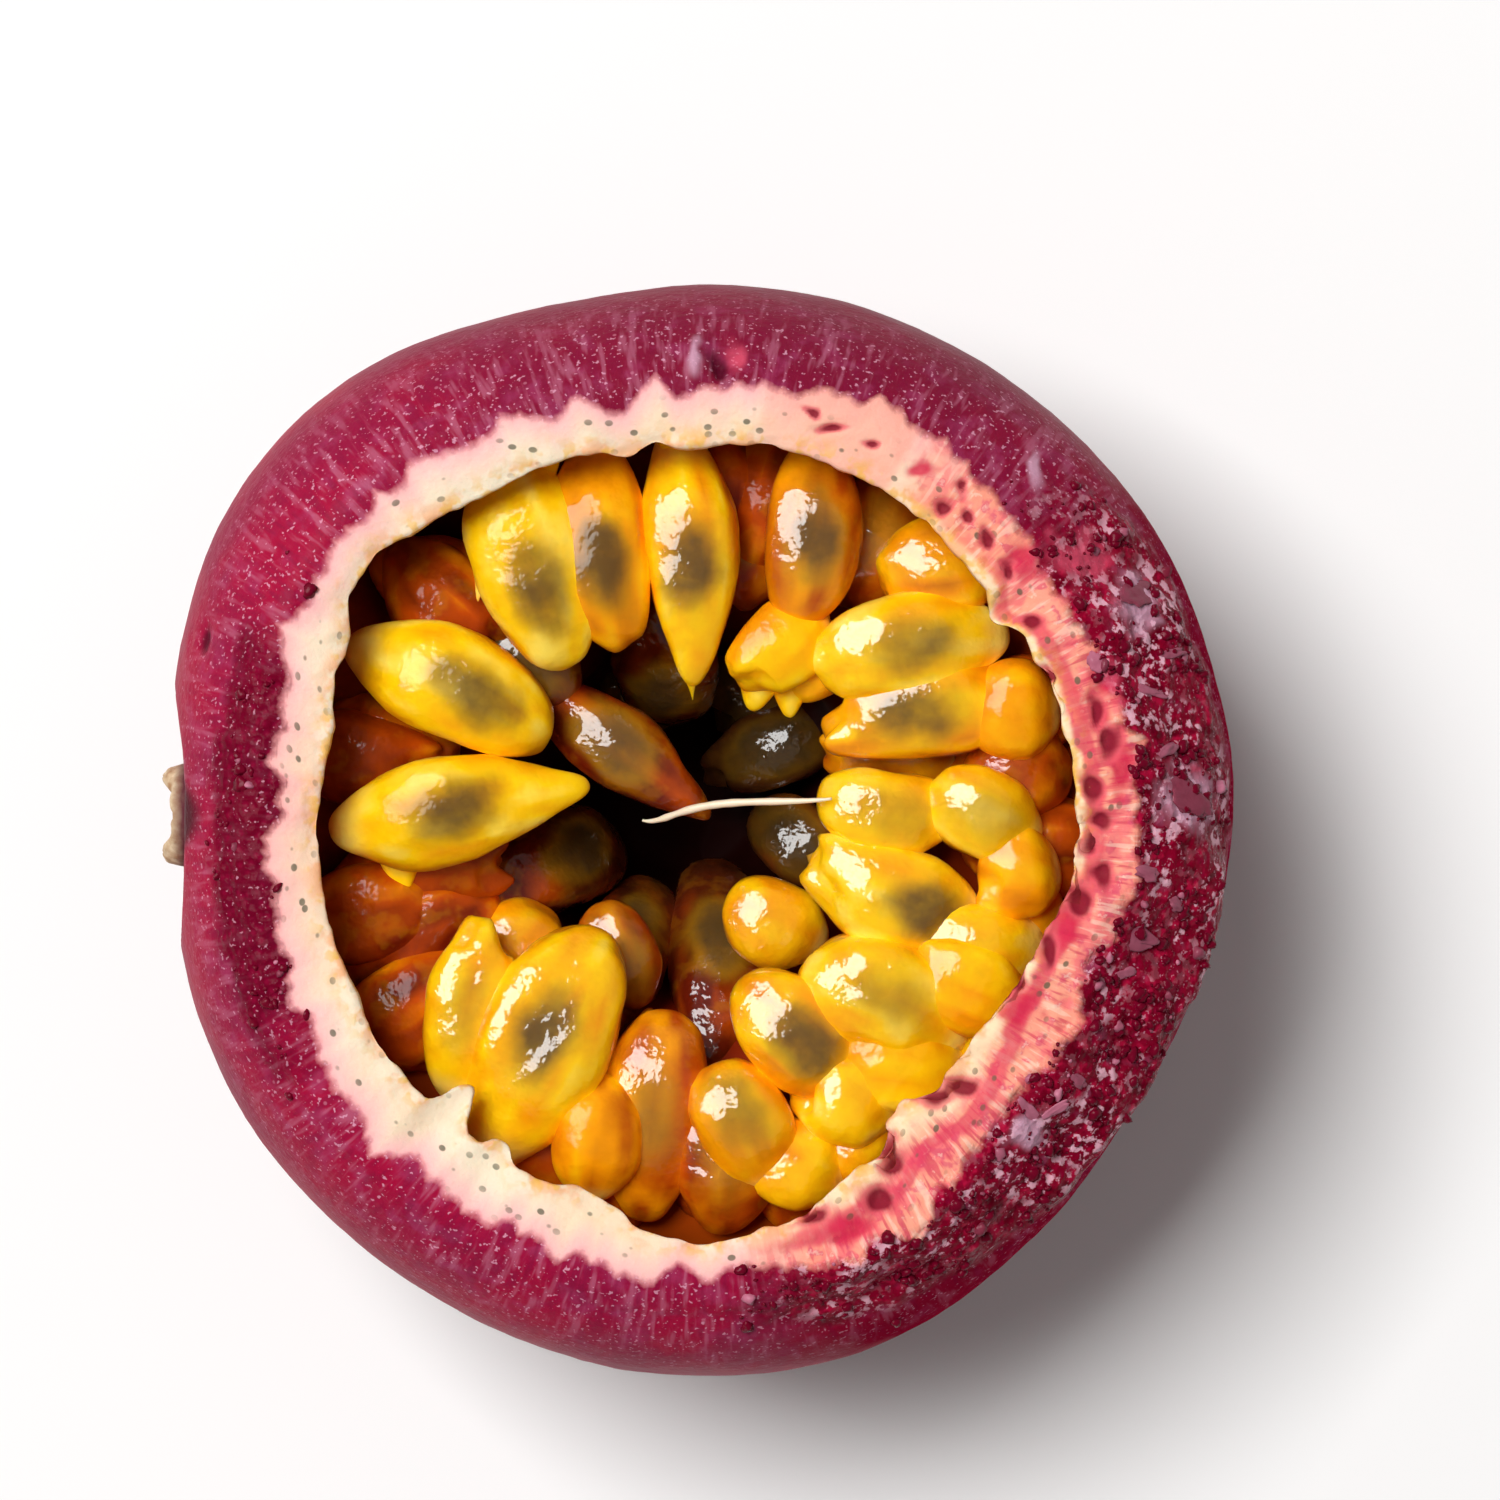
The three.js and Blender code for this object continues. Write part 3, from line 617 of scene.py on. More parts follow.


# Passion fruit rind, grown and then cut: a waxy crimson skin with pale pores, wet dark grains of flesh along
# the cut with painted pale pink glints, and matt cream pith that turns salmon where it is torn; painted shade
# round the stalk scar.
def makeRindMaterial():
    waxy = {
        "IOR": 1.45,
        "Subsurface Weight": 0.12,
        "Subsurface Radius": (1.0, 0.35, 0.25),
        "Subsurface Scale": 1.0 * mm,
    }
    material, tree, surface = newMaterial("waxySkinAndCutPith", waxy, {"subsurface_method": "RANDOM_WALK"})
    place = addNode(tree, "ShaderNodeTexCoord").outputs["Object"]
    names = (
        "intoPith", "ontoSkin", "granular", "torn", "pit", "rawRed", "bruised", "inner", "lip", "redLine",
        "veinLine", "tornPith", "cream", "plum", "blush", "socket", "ringX", "ringY", "travel",
    )
    fields = {
        name: addNode(tree, "ShaderNodeAttribute", {"attribute_name": name}).outputs["Fac"] for name in names
    }
    # Patterns that follow the rim, with their sizes round it and across it in mm: streaks that run over the
    # rim, and cells that hold the cut ends of the pith's vessels.
    for name, kind, detail, output, around, across in (
        ("streak", "ShaderNodeTexNoise", {"Detail": 2.0}, "Fac", 0.35, 2.0),
        ("vessel", "ShaderNodeTexVoronoi", {}, "Distance", 1.0, 0.75),
    ):
        axes = [
            addNode(tree, "ShaderNodeMath", {"operation": "DIVIDE"}, {1: size}, {0: fields[axis]}).outputs[0]
            for axis, size in (("ringX", around), ("ringY", around), ("travel", across))
        ]
        spot = addNode(tree, "ShaderNodeCombineXYZ", links=dict(enumerate(axes))).outputs[0]
        fields[name] = addNode(tree, kind, None, {"Scale": 1.0, **detail}, {"Vector": spot}).outputs[output]
    for name, size, detail in (
        ("cloud", 5.0, 3.0), ("mottle", 1.4, 3.0), ("blotch", 0.8, 2.0), ("fine", 0.4, 3.0),
        # the fine specks are pale pores on the skin and painted glints on the cut flesh
        ("specksAndGlints", 0.22, 1.0), ("glint", 0.55, 3.0), ("patch", 2.6, 1.0),
    ):
        values = {"Scale": 1 / (size * mm), "Detail": detail, "Roughness": 0.55}
        fields[name] = addNode(tree, "ShaderNodeTexNoise", None, values, {"Vector": place}).outputs["Fac"]
    for name, size in (("grain", bowl["granule"] * 0.7), ("pore", 1.0)):
        cells = addNode(tree, "ShaderNodeTexVoronoi", None, {"Scale": 1 / (size * mm)}, {"Vector": place})
        fields[name] = cells.outputs["Distance"]
    for name, field, none, full, least in (
        ("nearCut", "ontoSkin", 6.5, 0.5, 0.0),
        ("onSide", "ontoSkin", 10.5, 24.0, 0.0),
        ("onFlesh", "granular", 0.1, 0.75, 0.0),
        ("gathered", "patch", 0.46, 0.56, 0.1),
    ):
        share = addNode(tree, "ShaderNodeMapRange", None, {1: none, 2: full, 3: least}, {0: fields[field]})
        fields[name] = share.outputs[0]
    for name, first, second in (
        ("onTorn", "onFlesh", "torn"),
        ("cluster", "gathered", "onTorn"),
        ("wetGrain", "onFlesh", "grain"),
    ):
        links = {0: fields[first], 1: fields[second]}
        fields[name] = addNode(tree, "ShaderNodeMath", {"operation": "MULTIPLY"}, links=links).outputs[0]

    layers = []
    for base, coats in rindCoats.values():
        first = addNode(tree, "ShaderNodeRGB").outputs[0]
        first.default_value = linearColour(base)
        layers.append(layCoats(tree, fields, first, coats))
    links = {0: fields["fine"], 2: fields["intoPith"]}
    ragged = addNode(tree, "ShaderNodeMath", {"operation": "MULTIPLY_ADD"}, {1: 0.5}, links)
    onPith = addNode(tree, "ShaderNodeMapRange", None, {1: 0.02, 2: 0.5}, {0: ragged.outputs[0]}).outputs[0]
    links = {0: onPith, 6: layers[0], 7: layers[1]}
    colour = addNode(tree, "ShaderNodeMix", {"data_type": "RGBA"}, links=links)
    redRough = addNode(tree, "ShaderNodeMapRange", None, {3: 0.42, 4: 0.16}, {0: fields["onFlesh"]})
    rough = addNode(tree, "ShaderNodeMapRange", None, {4: 0.6}, {0: onPith, 3: redRough.outputs[0]})
    skinGloss = addNode(tree, "ShaderNodeMapRange", None, {3: 0.04, 4: 0.0}, {0: fields["torn"]})
    links = {0: fields["onFlesh"], 3: skinGloss.outputs[0]}
    gloss = addNode(tree, "ShaderNodeMapRange", None, {4: 0.03}, links)
    links = {0: fields["wetGrain"], 2: fields["fine"]}
    height = addNode(tree, "ShaderNodeMath", {"operation": "MULTIPLY_ADD"}, {1: 1.5}, links)
    values = {"Strength": 0.45, "Distance": 0.14 * mm}
    bump = addNode(tree, "ShaderNodeBump", None, values, {"Height": height.outputs[0]})
    join(tree, surface, {
        "Base Color": colour.outputs[2],
        "Roughness": rough.outputs[0],
        "Specular IOR Level": gloss.outputs[0],
        "Normal": bump.outputs[0],
    })
    return material


# The bed and the juice sacs: sizes in mm, bearings in degrees.
pulp = {
    "fitGap": 0.3,
    "hollowAxis": (-0.7, 1.3),
    "hollowProfile": [
        (0, 7.5), (3.6, 8), (5.6, 11), (7, 15), (8.2, 19), (10.4, 23), (13, 24.4), (19, 24.6), (30, 24.6),
    ],
    "pockets": [(136, 15, -6), (170, 8, -4), (204, 22, -5)],  # bearing, reach, rise
    "pocketStart": 10,
    "pocketEnd": 15,
    "bedColumns": 256,
    "bedWallRows": 24,
    "bedTopRows": 26,
    "bedReach": ((17.0, 9.0), (8.6, 0.5)),  # the heap's and the funnel's rows, out from the hollow's axis
    "bedLumps": (3.2, 0.9),  # spacing and height
    "bedShadeDepths": (26, 12),  # the height where the painted shade of the hollow starts, and the depth below it where that shade is darkest
    "lift": 0.7,
    "flatness": 0.8,
    "usualWidth": 4.5,
    "bend": 1.1,  # sideways, for a sac of the usual width
    "arch": 0.25,
    "lumps": ((2.0, 3.0, 2.0), 0.11),  # size across, along and up, then height as a share of the width
    "strands": ((0.7, 2.6, 0.7), 0.035),
    "crumple": ((0.9, 0.9, 0.9), 0.025),
    "rings": 37,
    "around": 32,
    "seed": (2.6, 1.6),  # half length and half width
}

# Each sac: root x and y, tip x and y, width, tint (0 yellow to 1 deep orange; the dark tints of sacs in the
# pockets under the rim and low in the hollow are partly painted shade), the seed's place along it, the seed's
# tone, how pointed it is, gloss.
upperSacs = [
    (5.8, 10.8, 1.8, 7.0, 4.0, 0.22, 0.5, 0.1, 0.0, 0.3),
    (-17.4, 0.1, -5.2, 2.2, 5.2, 0.0, 0.5, 0.9, 0.6, 0.25),
    (-16.6, 9, -7.0, 4.3, 5.2, 0.0, 0.64, 0.85, 0.0, 0.3),
    (-9.8, 18.6, -6.3, 7.6, 5.4, -0.1, 0.66, 0.8, 0.0, 0.35),
    (-4.8, 19, -3.7, 8.6, 4.8, 0.3, 0.62, 1.0, 0.0, 0.35),
    (-1.2, 19.2, -0.3, 6.9, 4.8, 0.12, 0.56, 0.9, 0.5, 0.8),
    (5.6, 19, 4.7, 9.6, 4.6, 0.55, 0.55, 0.9, 0.0, 1.0),
    (14.6, 13.2, 8.4, 12.2, 4.8, 0.3, 0.6, 0.2, 0.0, 1.0),
    (14.6, 9.4, 5.2, 7.9, 5.0, 0.05, 0.5, 0.7, 0.0, 1.0),
    (16, 6, 6.4, 4.7, 4.6, 0.25, 0.64, 0.85, 0.0, 1.0),
    (17, 5.6, 12.4, 5.6, 5, 0.3, 0.5, 0.1, 0.0, 0.35),
    (12.4, 0.9, 5.5, 1.7, 4.4, 0.0, 0.5, 0.4, 0.0, 1.0),
    (16, -0.4, 10.8, 2.2, 4.2, 0.05, 0.5, 0.4, 0.0, 1.0),
    (13.2, -4.2, 5.6, -1.2, 5.2, 0.05, 0.32, 0.9, 0.0, 1.0),
    (17, -1.8, 13, -2.3, 4.8, 0.3, 0.5, 0.1, 0.0, 0.5),
    (7.4, -12.2, 1.8, -7.1, 4.8, 0.2, 0.45, 0.85, 0.0, 1.0),
    (12.6, -9.8, 4.8, -6.3, 5.6, 0.0, 0.5, 0.5, 0.0, 1.0),
    (15.4, -8.4, 9.6, -6, 4.8, 0.15, 0.5, 0.1, 0.0, 0.5),
    (3.6, -16.6, 0.6, -10.8, 4.6, 0.3, 0.6, 0.6, 0.0, 1.0),
    (9.4, -13.2, 4.6, -12, 4.4, 0.08, 0.5, 0.1, 0.0, 1.0),
    (7, -16.4, 2, -14.6, 4.2, 0.15, 0.5, 0.1, 0.0, 1.0),
    (-9.9, -15.7, -4.8, -4.6, 6.4, 0.12, 0.57, 0.95, 0.0, 1.0),
    (-5.2, -17.4, -4.6, -11.2, 4.4, 0.45, 0.5, 0.1, 0.0, 0.25),
    (-11.7, -12.6, -9.9, -4.4, 4.2, 0.1, 0.54, 0.4, 0.0, 1.0),
    (16.2, -5, 9.4, -5.4, 4.6, 0.1, 0.5, 0.2, 0.0, 1.0),
    (12.6, -11.6, 6.2, -10.6, 4.8, 0.1, 0.5, 0.1, 0.0, 0.4),
]
middleSacs = [
    (-15.6, 13, -8.4, 9.6, 4.8, 0.62, 0.5, 0.0, 0.0, 0.3),
    (-11, 9.8, -5.8, 6.4, 3.8, 1.0, 0.5, 0.8, 0.0, 1.0),
    (2.1, 19.6, 2.4, 10.6, 4.4, 0.65, 0.5, 0.9, 0.0, 0.4),
    (9.8, 17.4, 6.8, 10.6, 4.8, 0.7, 0.5, 0.5, 0.0, 1.0),
    (18, 2.6, 11.6, 2.6, 4.6, 0.8, 0.5, 0.2, 0.0, 1.0),
    (12.6, 3, 6, 3.9, 4.0, 0.45, 0.5, 0.2, 0.0, 1.0),
    (6, -5.4, 1.3, -3.1, 4.2, 0.25, 0.5, 0.2, 0.0, 1.0),
    (0.8, -18.8, 0.2, -12.4, 4.8, 0.85, 0.5, 0.3, 0.0, 1.0),
    (-2.9, -17.6, -1.6, -8.6, 4.6, 0.6, 0.5, 0.6, 0.0, 1.0),
    (-10, -7.4, -7.4, -3.5, 4.2, 0.35, 0.5, 0.2, 0.0, 1.0),
    (-17, -7.4, -9.6, -2.8, 5, 0.85, 0.5, 0.0, 0.0, 0.4),
    (-15, -11, -11, -6, 4.6, 0.7, 0.5, 0.0, 0.0, 0.5),
    (-17.8, 5.6, -11.4, 3.4, 4.4, 0.78, 0.5, 0.0, 0.0, 0.25),
    (-17.6, -2.8, -9, -1.6, 4.6, 0.8, 0.5, 0.0, 0.0, 0.25),
    (-7.8, 7, -0.2, 1.1, 4, 0.9, 0.5, 0.8, 0.3, 1.0),
    (-2.8, -8.4, -4.8, -3.4, 3.8, 0.7, 0.5, 0.5, 0.0, 1.0),
]
lowerSacs = [
    (7.4, 4.8, 0.4, 2.9, 4, 1.0, 0.5, 1.0, 0.0, 1.0),
    (6.6, -2.6, 2.8, 1.2, 4, 0.8, 0.5, 0.9, 0.0, 1.0),
    (-4, 9.4, -2.4, 4.6, 4.2, 1.0, 0.5, 1.0, 0.0, 1.0),
    (3.2, 9.8, 1.4, 5.2, 4.2, 1.0, 0.5, 1.0, 0.0, 1.0),
]
# Sacs that lean down the sides of the hollow.
slopeSacs = [
    (0.4, -11.2, 0.4, -1.6, 5.0, 1.0, 0.5, 1.0, 0.0, 1.0),
    (-10.2, -3.2, -4.2, -0.8, 5.0, 1.0, 0.5, 1.0, 0.0, 1.0),
    (-1.4, 11.2, -1.6, 5.6, 5.0, 1.0, 0.5, 1.0, 0.0, 1.0),
    (-4.6, -9.4, -2.6, -2.6, 4.2, 0.9, 0.5, 0.9, 0.0, 1.0),
]
# Sacs that close the heap, mostly at the right and the bottom, and at the end of the list a few small drips.
fillSacs = [
    (-2.6, -18.4, -1.6, -8.4, 5.4, 0.5, 0.55, 0.5, 0.0, 1.0),
    (1.2, -19, 0.6, -11.8, 5.2, 0.75, 0.5, 0.4, 0.0, 1.0),
    (17.6, 2.4, 12.6, 3.4, 4.8, 0.75, 0.5, 0.1, 0.0, 1.0),
    (17.2, -4, 13, -3.6, 4.4, 0.35, 0.5, 0.1, 0.0, 1.0),
    (14.8, -10.8, 10.4, -8.8, 4.6, 0.05, 0.5, 0.1, 0.0, 1.0),
    (12.8, 15, 9.4, 10.4, 4.6, 0.6, 0.5, 0.2, 0.0, 1.0),
    (9.4, -15.6, 5.6, -13.4, 4.4, 0.3, 0.5, 0.1, 0.0, 1.0),
    (14, 5.8, 9, 7, 4, 0.4, 0.5, 0.1, 0.0, 1.0),
    (7.8, 9.2, 3.6, 7.0, 3.6, 0.15, 0.5, 0.1, 0.0, 0.3),
    (-14.1, 0.2, -13.8, -2.9, 2.0, 0.0, 0.5, 0.0, 0.7, 0.2),
    (3.3, 9.6, 2.5, 5.7, 2.2, 0.0, 0.5, 0.0, 0.45, 0.3),
    (5.0, 9.0, 4.2, 5.5, 2.2, 0.0, 0.5, 0.0, 0.45, 0.3),
]
# Thin torn tips that lie on top.
shredSacs = [
    (-0.45, 9.4, -0.3, 6.3, 0.9, 0.0, 0.5, 0.0, 1.0, 0.2),
    (-10.3, 17.6, -10.4, 11.0, 0.9, -0.2, 0.5, 0.0, 0.6, 0.4),
    (-9.6, 18.9, -8.6, 14.2, 1.6, 0.0, 0.5, 0.0, 0.6, 0.4),
    (-6.9, 19.2, -6.9, 16.6, 1.3, 0.1, 0.5, 0.0, 0.5, 0.4),
    (-4.6, 20.0, -4.2, 16.8, 1.5, 0.1, 0.5, 0.0, 0.6, 0.4),
    (-1.6, 20.2, -1.4, 17.4, 1.4, 0.05, 0.5, 0.0, 0.6, 0.4),
]
tiers = [  # with the heights of their roots and tips
    (upperSacs, 27.1, 27.7),
    (middleSacs, 24, 24.6),
    (lowerSacs, 15.5, 13.5),
    (slopeSacs, 24.2, 15),
    (fillSacs, 25.7, 26.3),
    (shredSacs, 28.7, 27.6),
]
bedSacs = {  # a ring of them under the rim
    "count": 15,
    "ends": ((20, 24.9), (12.5, 25.3)),  # distance from the middle and height of root and tip
    "look": (4.8, 0.78, 0.5, 0.05, 0.0, 0.25),  # from the width on, as above
}


# A repeatable random number in 0..1 for every whole-number index.
def draw(index):
    wave = np.sin(index * 12.9898 + 4.1414) * 43758.5453
    return wave - np.floor(wave)


# All sacs as rows: root (3), tip (3), width, tint, seed's place, seed's tone, point, gloss.
def sacTable():
    rows = []
    for tierNumber, (sacs, rootHeight, tipHeight) in enumerate(tiers):
        for number, (rootX, rootY, tipX, tipY, *look) in enumerate(sacs):
            lift = pulp["lift"] * (draw(100 * tierNumber + number) - 0.5)
            rows.append((rootX, rootY, rootHeight + lift, tipX, tipY, tipHeight + lift, *look))
    for number in range(bedSacs["count"]):
        bearing = fullTurn * (number + 0.6 * (draw(500 + number) - 0.5)) / bedSacs["count"]
        lift = pulp["lift"] * (draw(600 + number) - 0.5)
        root, tip = ((r * np.cos(bearing), r * np.sin(bearing), z + lift) for r, z in bedSacs["ends"])
        rows.append((*root, *tip, *bedSacs["look"]))
    return np.array(rows)


# Each sac's frame: unit vectors across, along and up, and its length.
def sacAxes(table):
    root, tip = table[:, 0:3], table[:, 3:6]
    length = np.linalg.norm(tip - root, axis=1)
    along = (tip - root) / length[:, None]
    across = np.stack([-along[:, 1], along[:, 0], 0 * length], axis=1)
    across /= np.linalg.norm(across, axis=1)[:, None]
    return across, along, np.cross(along, across), length


# A drop round its axis: half-width (w/2) sqrt(1 - |2t^0.9 - 1|^2.5), drawn in towards the root and, for a
# pointed one, towards the tip; flattened, arched up a little and made uneven by noises that run with the sac.
def makeSacs(table):
    across, along, up, length = sacAxes(table)
    count = len(table)
    t = (1 - np.cos(np.pi * (np.arange(pulp["rings"]) + 0.5) / pulp["rings"])) / 2
    turn = fullTurn * np.arange(pulp["around"]) / pulp["around"]
    width, tint, seedPlace, seedTone, point, gloss = table[:, 6:12].T
    fullness = np.sqrt(1 - np.abs(2 * t**0.9 - 1) ** 2.5) * (0.7 + 0.3 * smoothStep(0, 0.4, t))
    fullness = fullness[None] * (1 - 0.8 * point[:, None] * smoothStep(0.45, 1, t))
    half = width[:, None] / 2 * fullness
    grid = (count, pulp["rings"], pulp["around"])
    sideways = np.broadcast_to(half[..., None] * np.cos(turn), grid)
    lifted = np.sign(np.sin(turn)) * np.abs(np.sin(turn)) ** 0.6 * pulp["flatness"]
    upward = np.broadcast_to(half[..., None] * lifted, grid)
    forward = np.broadcast_to((t[None] * length[:, None])[..., None], grid)
    local = np.stack([sideways, forward, upward], axis=-1)
    offset = 40 * draw(np.arange(count) + 0.5)[:, None, None, None]
    lumps = softNoise(local / pulp["lumps"][0] + offset, 51)
    strands = softNoise(local / pulp["strands"][0] + offset, 52)
    crumple = layeredNoise(local / pulp["crumple"][0] + offset, 53, 2)
    swellBy = 1 + pulp["lumps"][1] * lumps + pulp["strands"][1] * strands + pulp["crumple"][1] * crumple
    local = local * np.stack([swellBy, np.ones_like(swellBy), swellBy], axis=-1)
    # ragged ends: points near the tip run on or hang back, far in one sac of four
    scale = width[:, None, None] / pulp["usualWidth"]
    ends = smoothStep(0.72, 1, t)[None, :, None] * scale
    ragged = 0.2 + 0.9 * (draw(np.arange(count) + 0.75) > 0.75)
    local[..., 1] += ragged[:, None, None] * ends * softNoise(local / 1.1 + offset, 54)
    bend = pulp["bend"] * (draw(np.arange(count) + 0.25) - 0.5)[:, None, None] * scale
    arch = np.sin(np.pi * forward / length[:, None, None])
    local[..., 0] += bend * arch
    local[..., 2] += pulp["arch"] * arch

    # The seed shows through the top of the sac as a soft oval.
    halfLength, halfWidth = pulp["seed"]
    lengthwise = (local[..., 1] - (seedPlace * length)[:, None, None]) / halfLength
    widthwise = (local[..., 0] - bend * arch) / halfWidth
    reach = np.hypot(lengthwise, widthwise) + 0.3 * layeredNoise(local / 1.4 + offset, 57, 2)
    heightShare = local[..., 2] / (width[:, None, None] / 2)
    above = smoothStep(-0.3, 0.4, heightShare)
    shade = (1 - smoothStep(0.3, 1.35, reach)) * above * seedTone[:, None, None]
    # painted shade: each sac's underside is coloured darker orange
    undersideShade = 1 - smoothStep(-0.5, 0.45, heightShare)
    rootShade = (1 - smoothStep(0.02, 0.2, t))[None, :, None] * (tint < 0.5)[:, None, None]
    axes = np.stack([across, along, up], axis=1)
    rings = np.einsum("crsk,ckx->crsx", local, axes) + table[:, None, None, 0:3]
    values = {
        "seedShade": (shade, 0.0, 0.0),
        "tint": (tint[:, None, None], tint, tint),
        "undersideShade": (undersideShade, 0.5, 0.5),
        "gloss": (gloss[:, None, None], gloss, gloss),
        "strand": (strands, 0.0, 0.0),
        "rootShade": (rootShade, rootShade[:, 0, 0], 0.0),
    }
    piece = closedBodies("juiceSacs", rings, rings[:, 0].mean(axis=1), rings[:, -1].mean(axis=1), values)
    register(piece, "juice_sacs", "pulp")
    return piece


# The bed under the sacs: the inner wall up to the heap's top, then a funnel down to the hollow's floor, whose
# height follows the profile, with dips for the pockets and lumps h (1/2 - d), d the distance to a cell point.
def makeBed():
    bearing = np.arange(pulp["bedColumns"]) * 360 / pulp["bedColumns"]
    angle = np.radians(bearing)
    share = np.linspace(0.05, 1.3, pulp["bedWallRows"])[:, None]
    wallR, wallZ = innerWall(bearing, pulp["fitGap"], share)
    wall = np.stack([wallR * np.cos(angle), wallR * np.sin(angle), wallZ], axis=-1)
    profileR, profileZ = np.array(pulp["hollowProfile"]).T
    reach = np.concatenate([np.linspace(*ends, pulp["bedTopRows"]) for ends in pulp["bedReach"]])
    reach = reach[:, None] + 0 * bearing
    dip = sum(swell(bearing, *pocket) for pocket in pulp["pockets"])
    dip = dip * smoothStep(pulp["pocketStart"], pulp["pocketEnd"], reach)
    height = np.interp(reach, profileR, profileZ) + dip
    axisX, axisY = pulp["hollowAxis"]
    top = np.stack([reach * np.cos(angle) + axisX, reach * np.sin(angle) + axisY, height], axis=-1)
    rings = np.concatenate([wall, top])[None]
    spacing, lumpHeight = pulp["bedLumps"]
    lumps = 0.5 - cellDistance(rings / spacing, 61)
    inside = (np.arange(rings.shape[1]) > pulp["bedWallRows"])[None, :, None]
    rings = rings + (lumpHeight * lumps * inside)[..., None] * gridNormals(rings)
    # the depth below the heap's top, which the bed's material turns into painted shade
    values = {"depth": (pulp["bedShadeDepths"][0] - rings[..., 2], 20.0, 18.0)}
    floor = bowl["wallThickness"] + pulp["fitGap"]
    piece = closedBodies("pulpBed", rings, (0, 0, floor), (axisX, axisY, profileZ[0]), values)
    register(piece, "juice_sacs", "pulp")
    return piece


# The juice's colour from yellow to deep orange, its dark end partly painted shade, and the coats over it, two
# of them painted shade.
juice = {
    "ramp": (
        (0.0, "fdf0c0"), (0.25, "fde060"), (0.44, "fdc808"),
        (0.64, "f29804"), (0.84, "b04404"), (1.0, "641604"),
    ),
    "coats": [
        ("cloud", 0.52, 0.62, None, 0.15, "ee9a06"),
        # painted shade under each sac
        ("undersideShade", 0.0, 1.0, None, 0.6, "b84c02"),
        ("rootShade", 0.0, 1.0, None, 0.4, "fde680"),
        ("mottledSeed", 0.0, 0.5, None, 0.6, "b08014"),
        ("mottledSeed", 0.25, 1.0, None, 0.95, "5e4422"),
        # painted shade low in the hollow
        ("hollowShade", 0.0, 1.0, None, 0.8, "33240f"),
    ],
}


# Passion fruit juice in a thin membrane, grown: cloudy yellow to orange gel with a wet gloss, greyed where
# a dark seed lies close below and paler at the roots; darker orange on each sac's underside and darker brown
# low in the hollow, both painted shade.
def makeJuiceMaterial():
    cloudy = {
        "IOR": 1.4,
        "Roughness": 0.4,
        "Specular IOR Level": 0.05,
        "Subsurface Weight": 0.8,
        "Subsurface Radius": (1.0, 0.6, 0.2),
        "Subsurface Scale": 1.2 * mm,
        "Coat Roughness": 0.07,
        "Coat IOR": 1.6,
    }
    material, tree, surface = newMaterial("cloudyJuiceInMembrane", cloudy, {"subsurface_method": "BURLEY"})
    place = addNode(tree, "ShaderNodeTexCoord").outputs["Object"]
    fields = {
        name: addNode(tree, "ShaderNodeAttribute", {"attribute_name": name}).outputs["Fac"]
        for name in ("tint", "seedShade", "rootShade", "undersideShade", "gloss", "strand")
    }
    for name, size in (("cloud", 1.8), ("wrinkle", 1.5), ("fine", 0.45)):
        values = {"Scale": 1 / (size * mm), "Detail": 3.0}
        fields[name] = addNode(tree, "ShaderNodeTexNoise", None, values, {"Vector": place}).outputs["Fac"]
    split = addNode(tree, "ShaderNodeSeparateXYZ", links={0: place})
    # painted shade: sacs darken from 24 mm down to 13 mm high, for the shade in the hollow
    hollowShade = addNode(tree, "ShaderNodeMapRange", None, {1: 24 * mm, 2: 13 * mm}, {0: split.outputs["Z"]})
    fields["hollowShade"] = hollowShade.outputs[0]

    scaledSum = {"operation": "MULTIPLY_ADD"}
    drift = addNode(tree, "ShaderNodeMath", scaledSum, {1: 0.4, 2: -0.2}, {0: fields["cloud"]})
    links = {0: fields["tint"], 1: drift.outputs[0]}
    drifted = addNode(tree, "ShaderNodeMath", {"operation": "ADD"}, links=links)
    links = {0: fields["strand"], 2: drifted.outputs[0]}
    tinted = addNode(tree, "ShaderNodeMath", scaledSum, {1: -0.3}, links)
    share = addNode(tree, "ShaderNodeMapRange", None, {1: -0.8, 2: 1.0}, {0: tinted.outputs[0]})
    ramp = addNode(tree, "ShaderNodeValToRGB", links={"Fac": share.outputs[0]})
    setStops(ramp, juice["ramp"])
    mottle = addNode(tree, "ShaderNodeMath", scaledSum, {1: 0.8, 2: 0.58}, {0: fields["wrinkle"]})
    links = {0: mottle.outputs[0], 1: fields["seedShade"]}
    fields["mottledSeed"] = addNode(tree, "ShaderNodeMath", {"operation": "MULTIPLY"}, links=links).outputs[0]
    colour = layCoats(tree, fields, ramp.outputs[0], juice["coats"])

    links = {0: fields["fine"], 2: fields["wrinkle"]}
    height = addNode(tree, "ShaderNodeMath", scaledSum, {1: 0.1}, links).outputs[0]
    bump = addNode(tree, "ShaderNodeBump", None, {"Strength": 0.5, "Distance": 0.45 * mm}, {"Height": height})
    join(tree, surface, {
        "Base Color": colour,
        "Coat Weight": fields["gloss"],
        "Normal": bump.outputs[0],
        "Coat Normal": bump.outputs[0],
    })
    return material


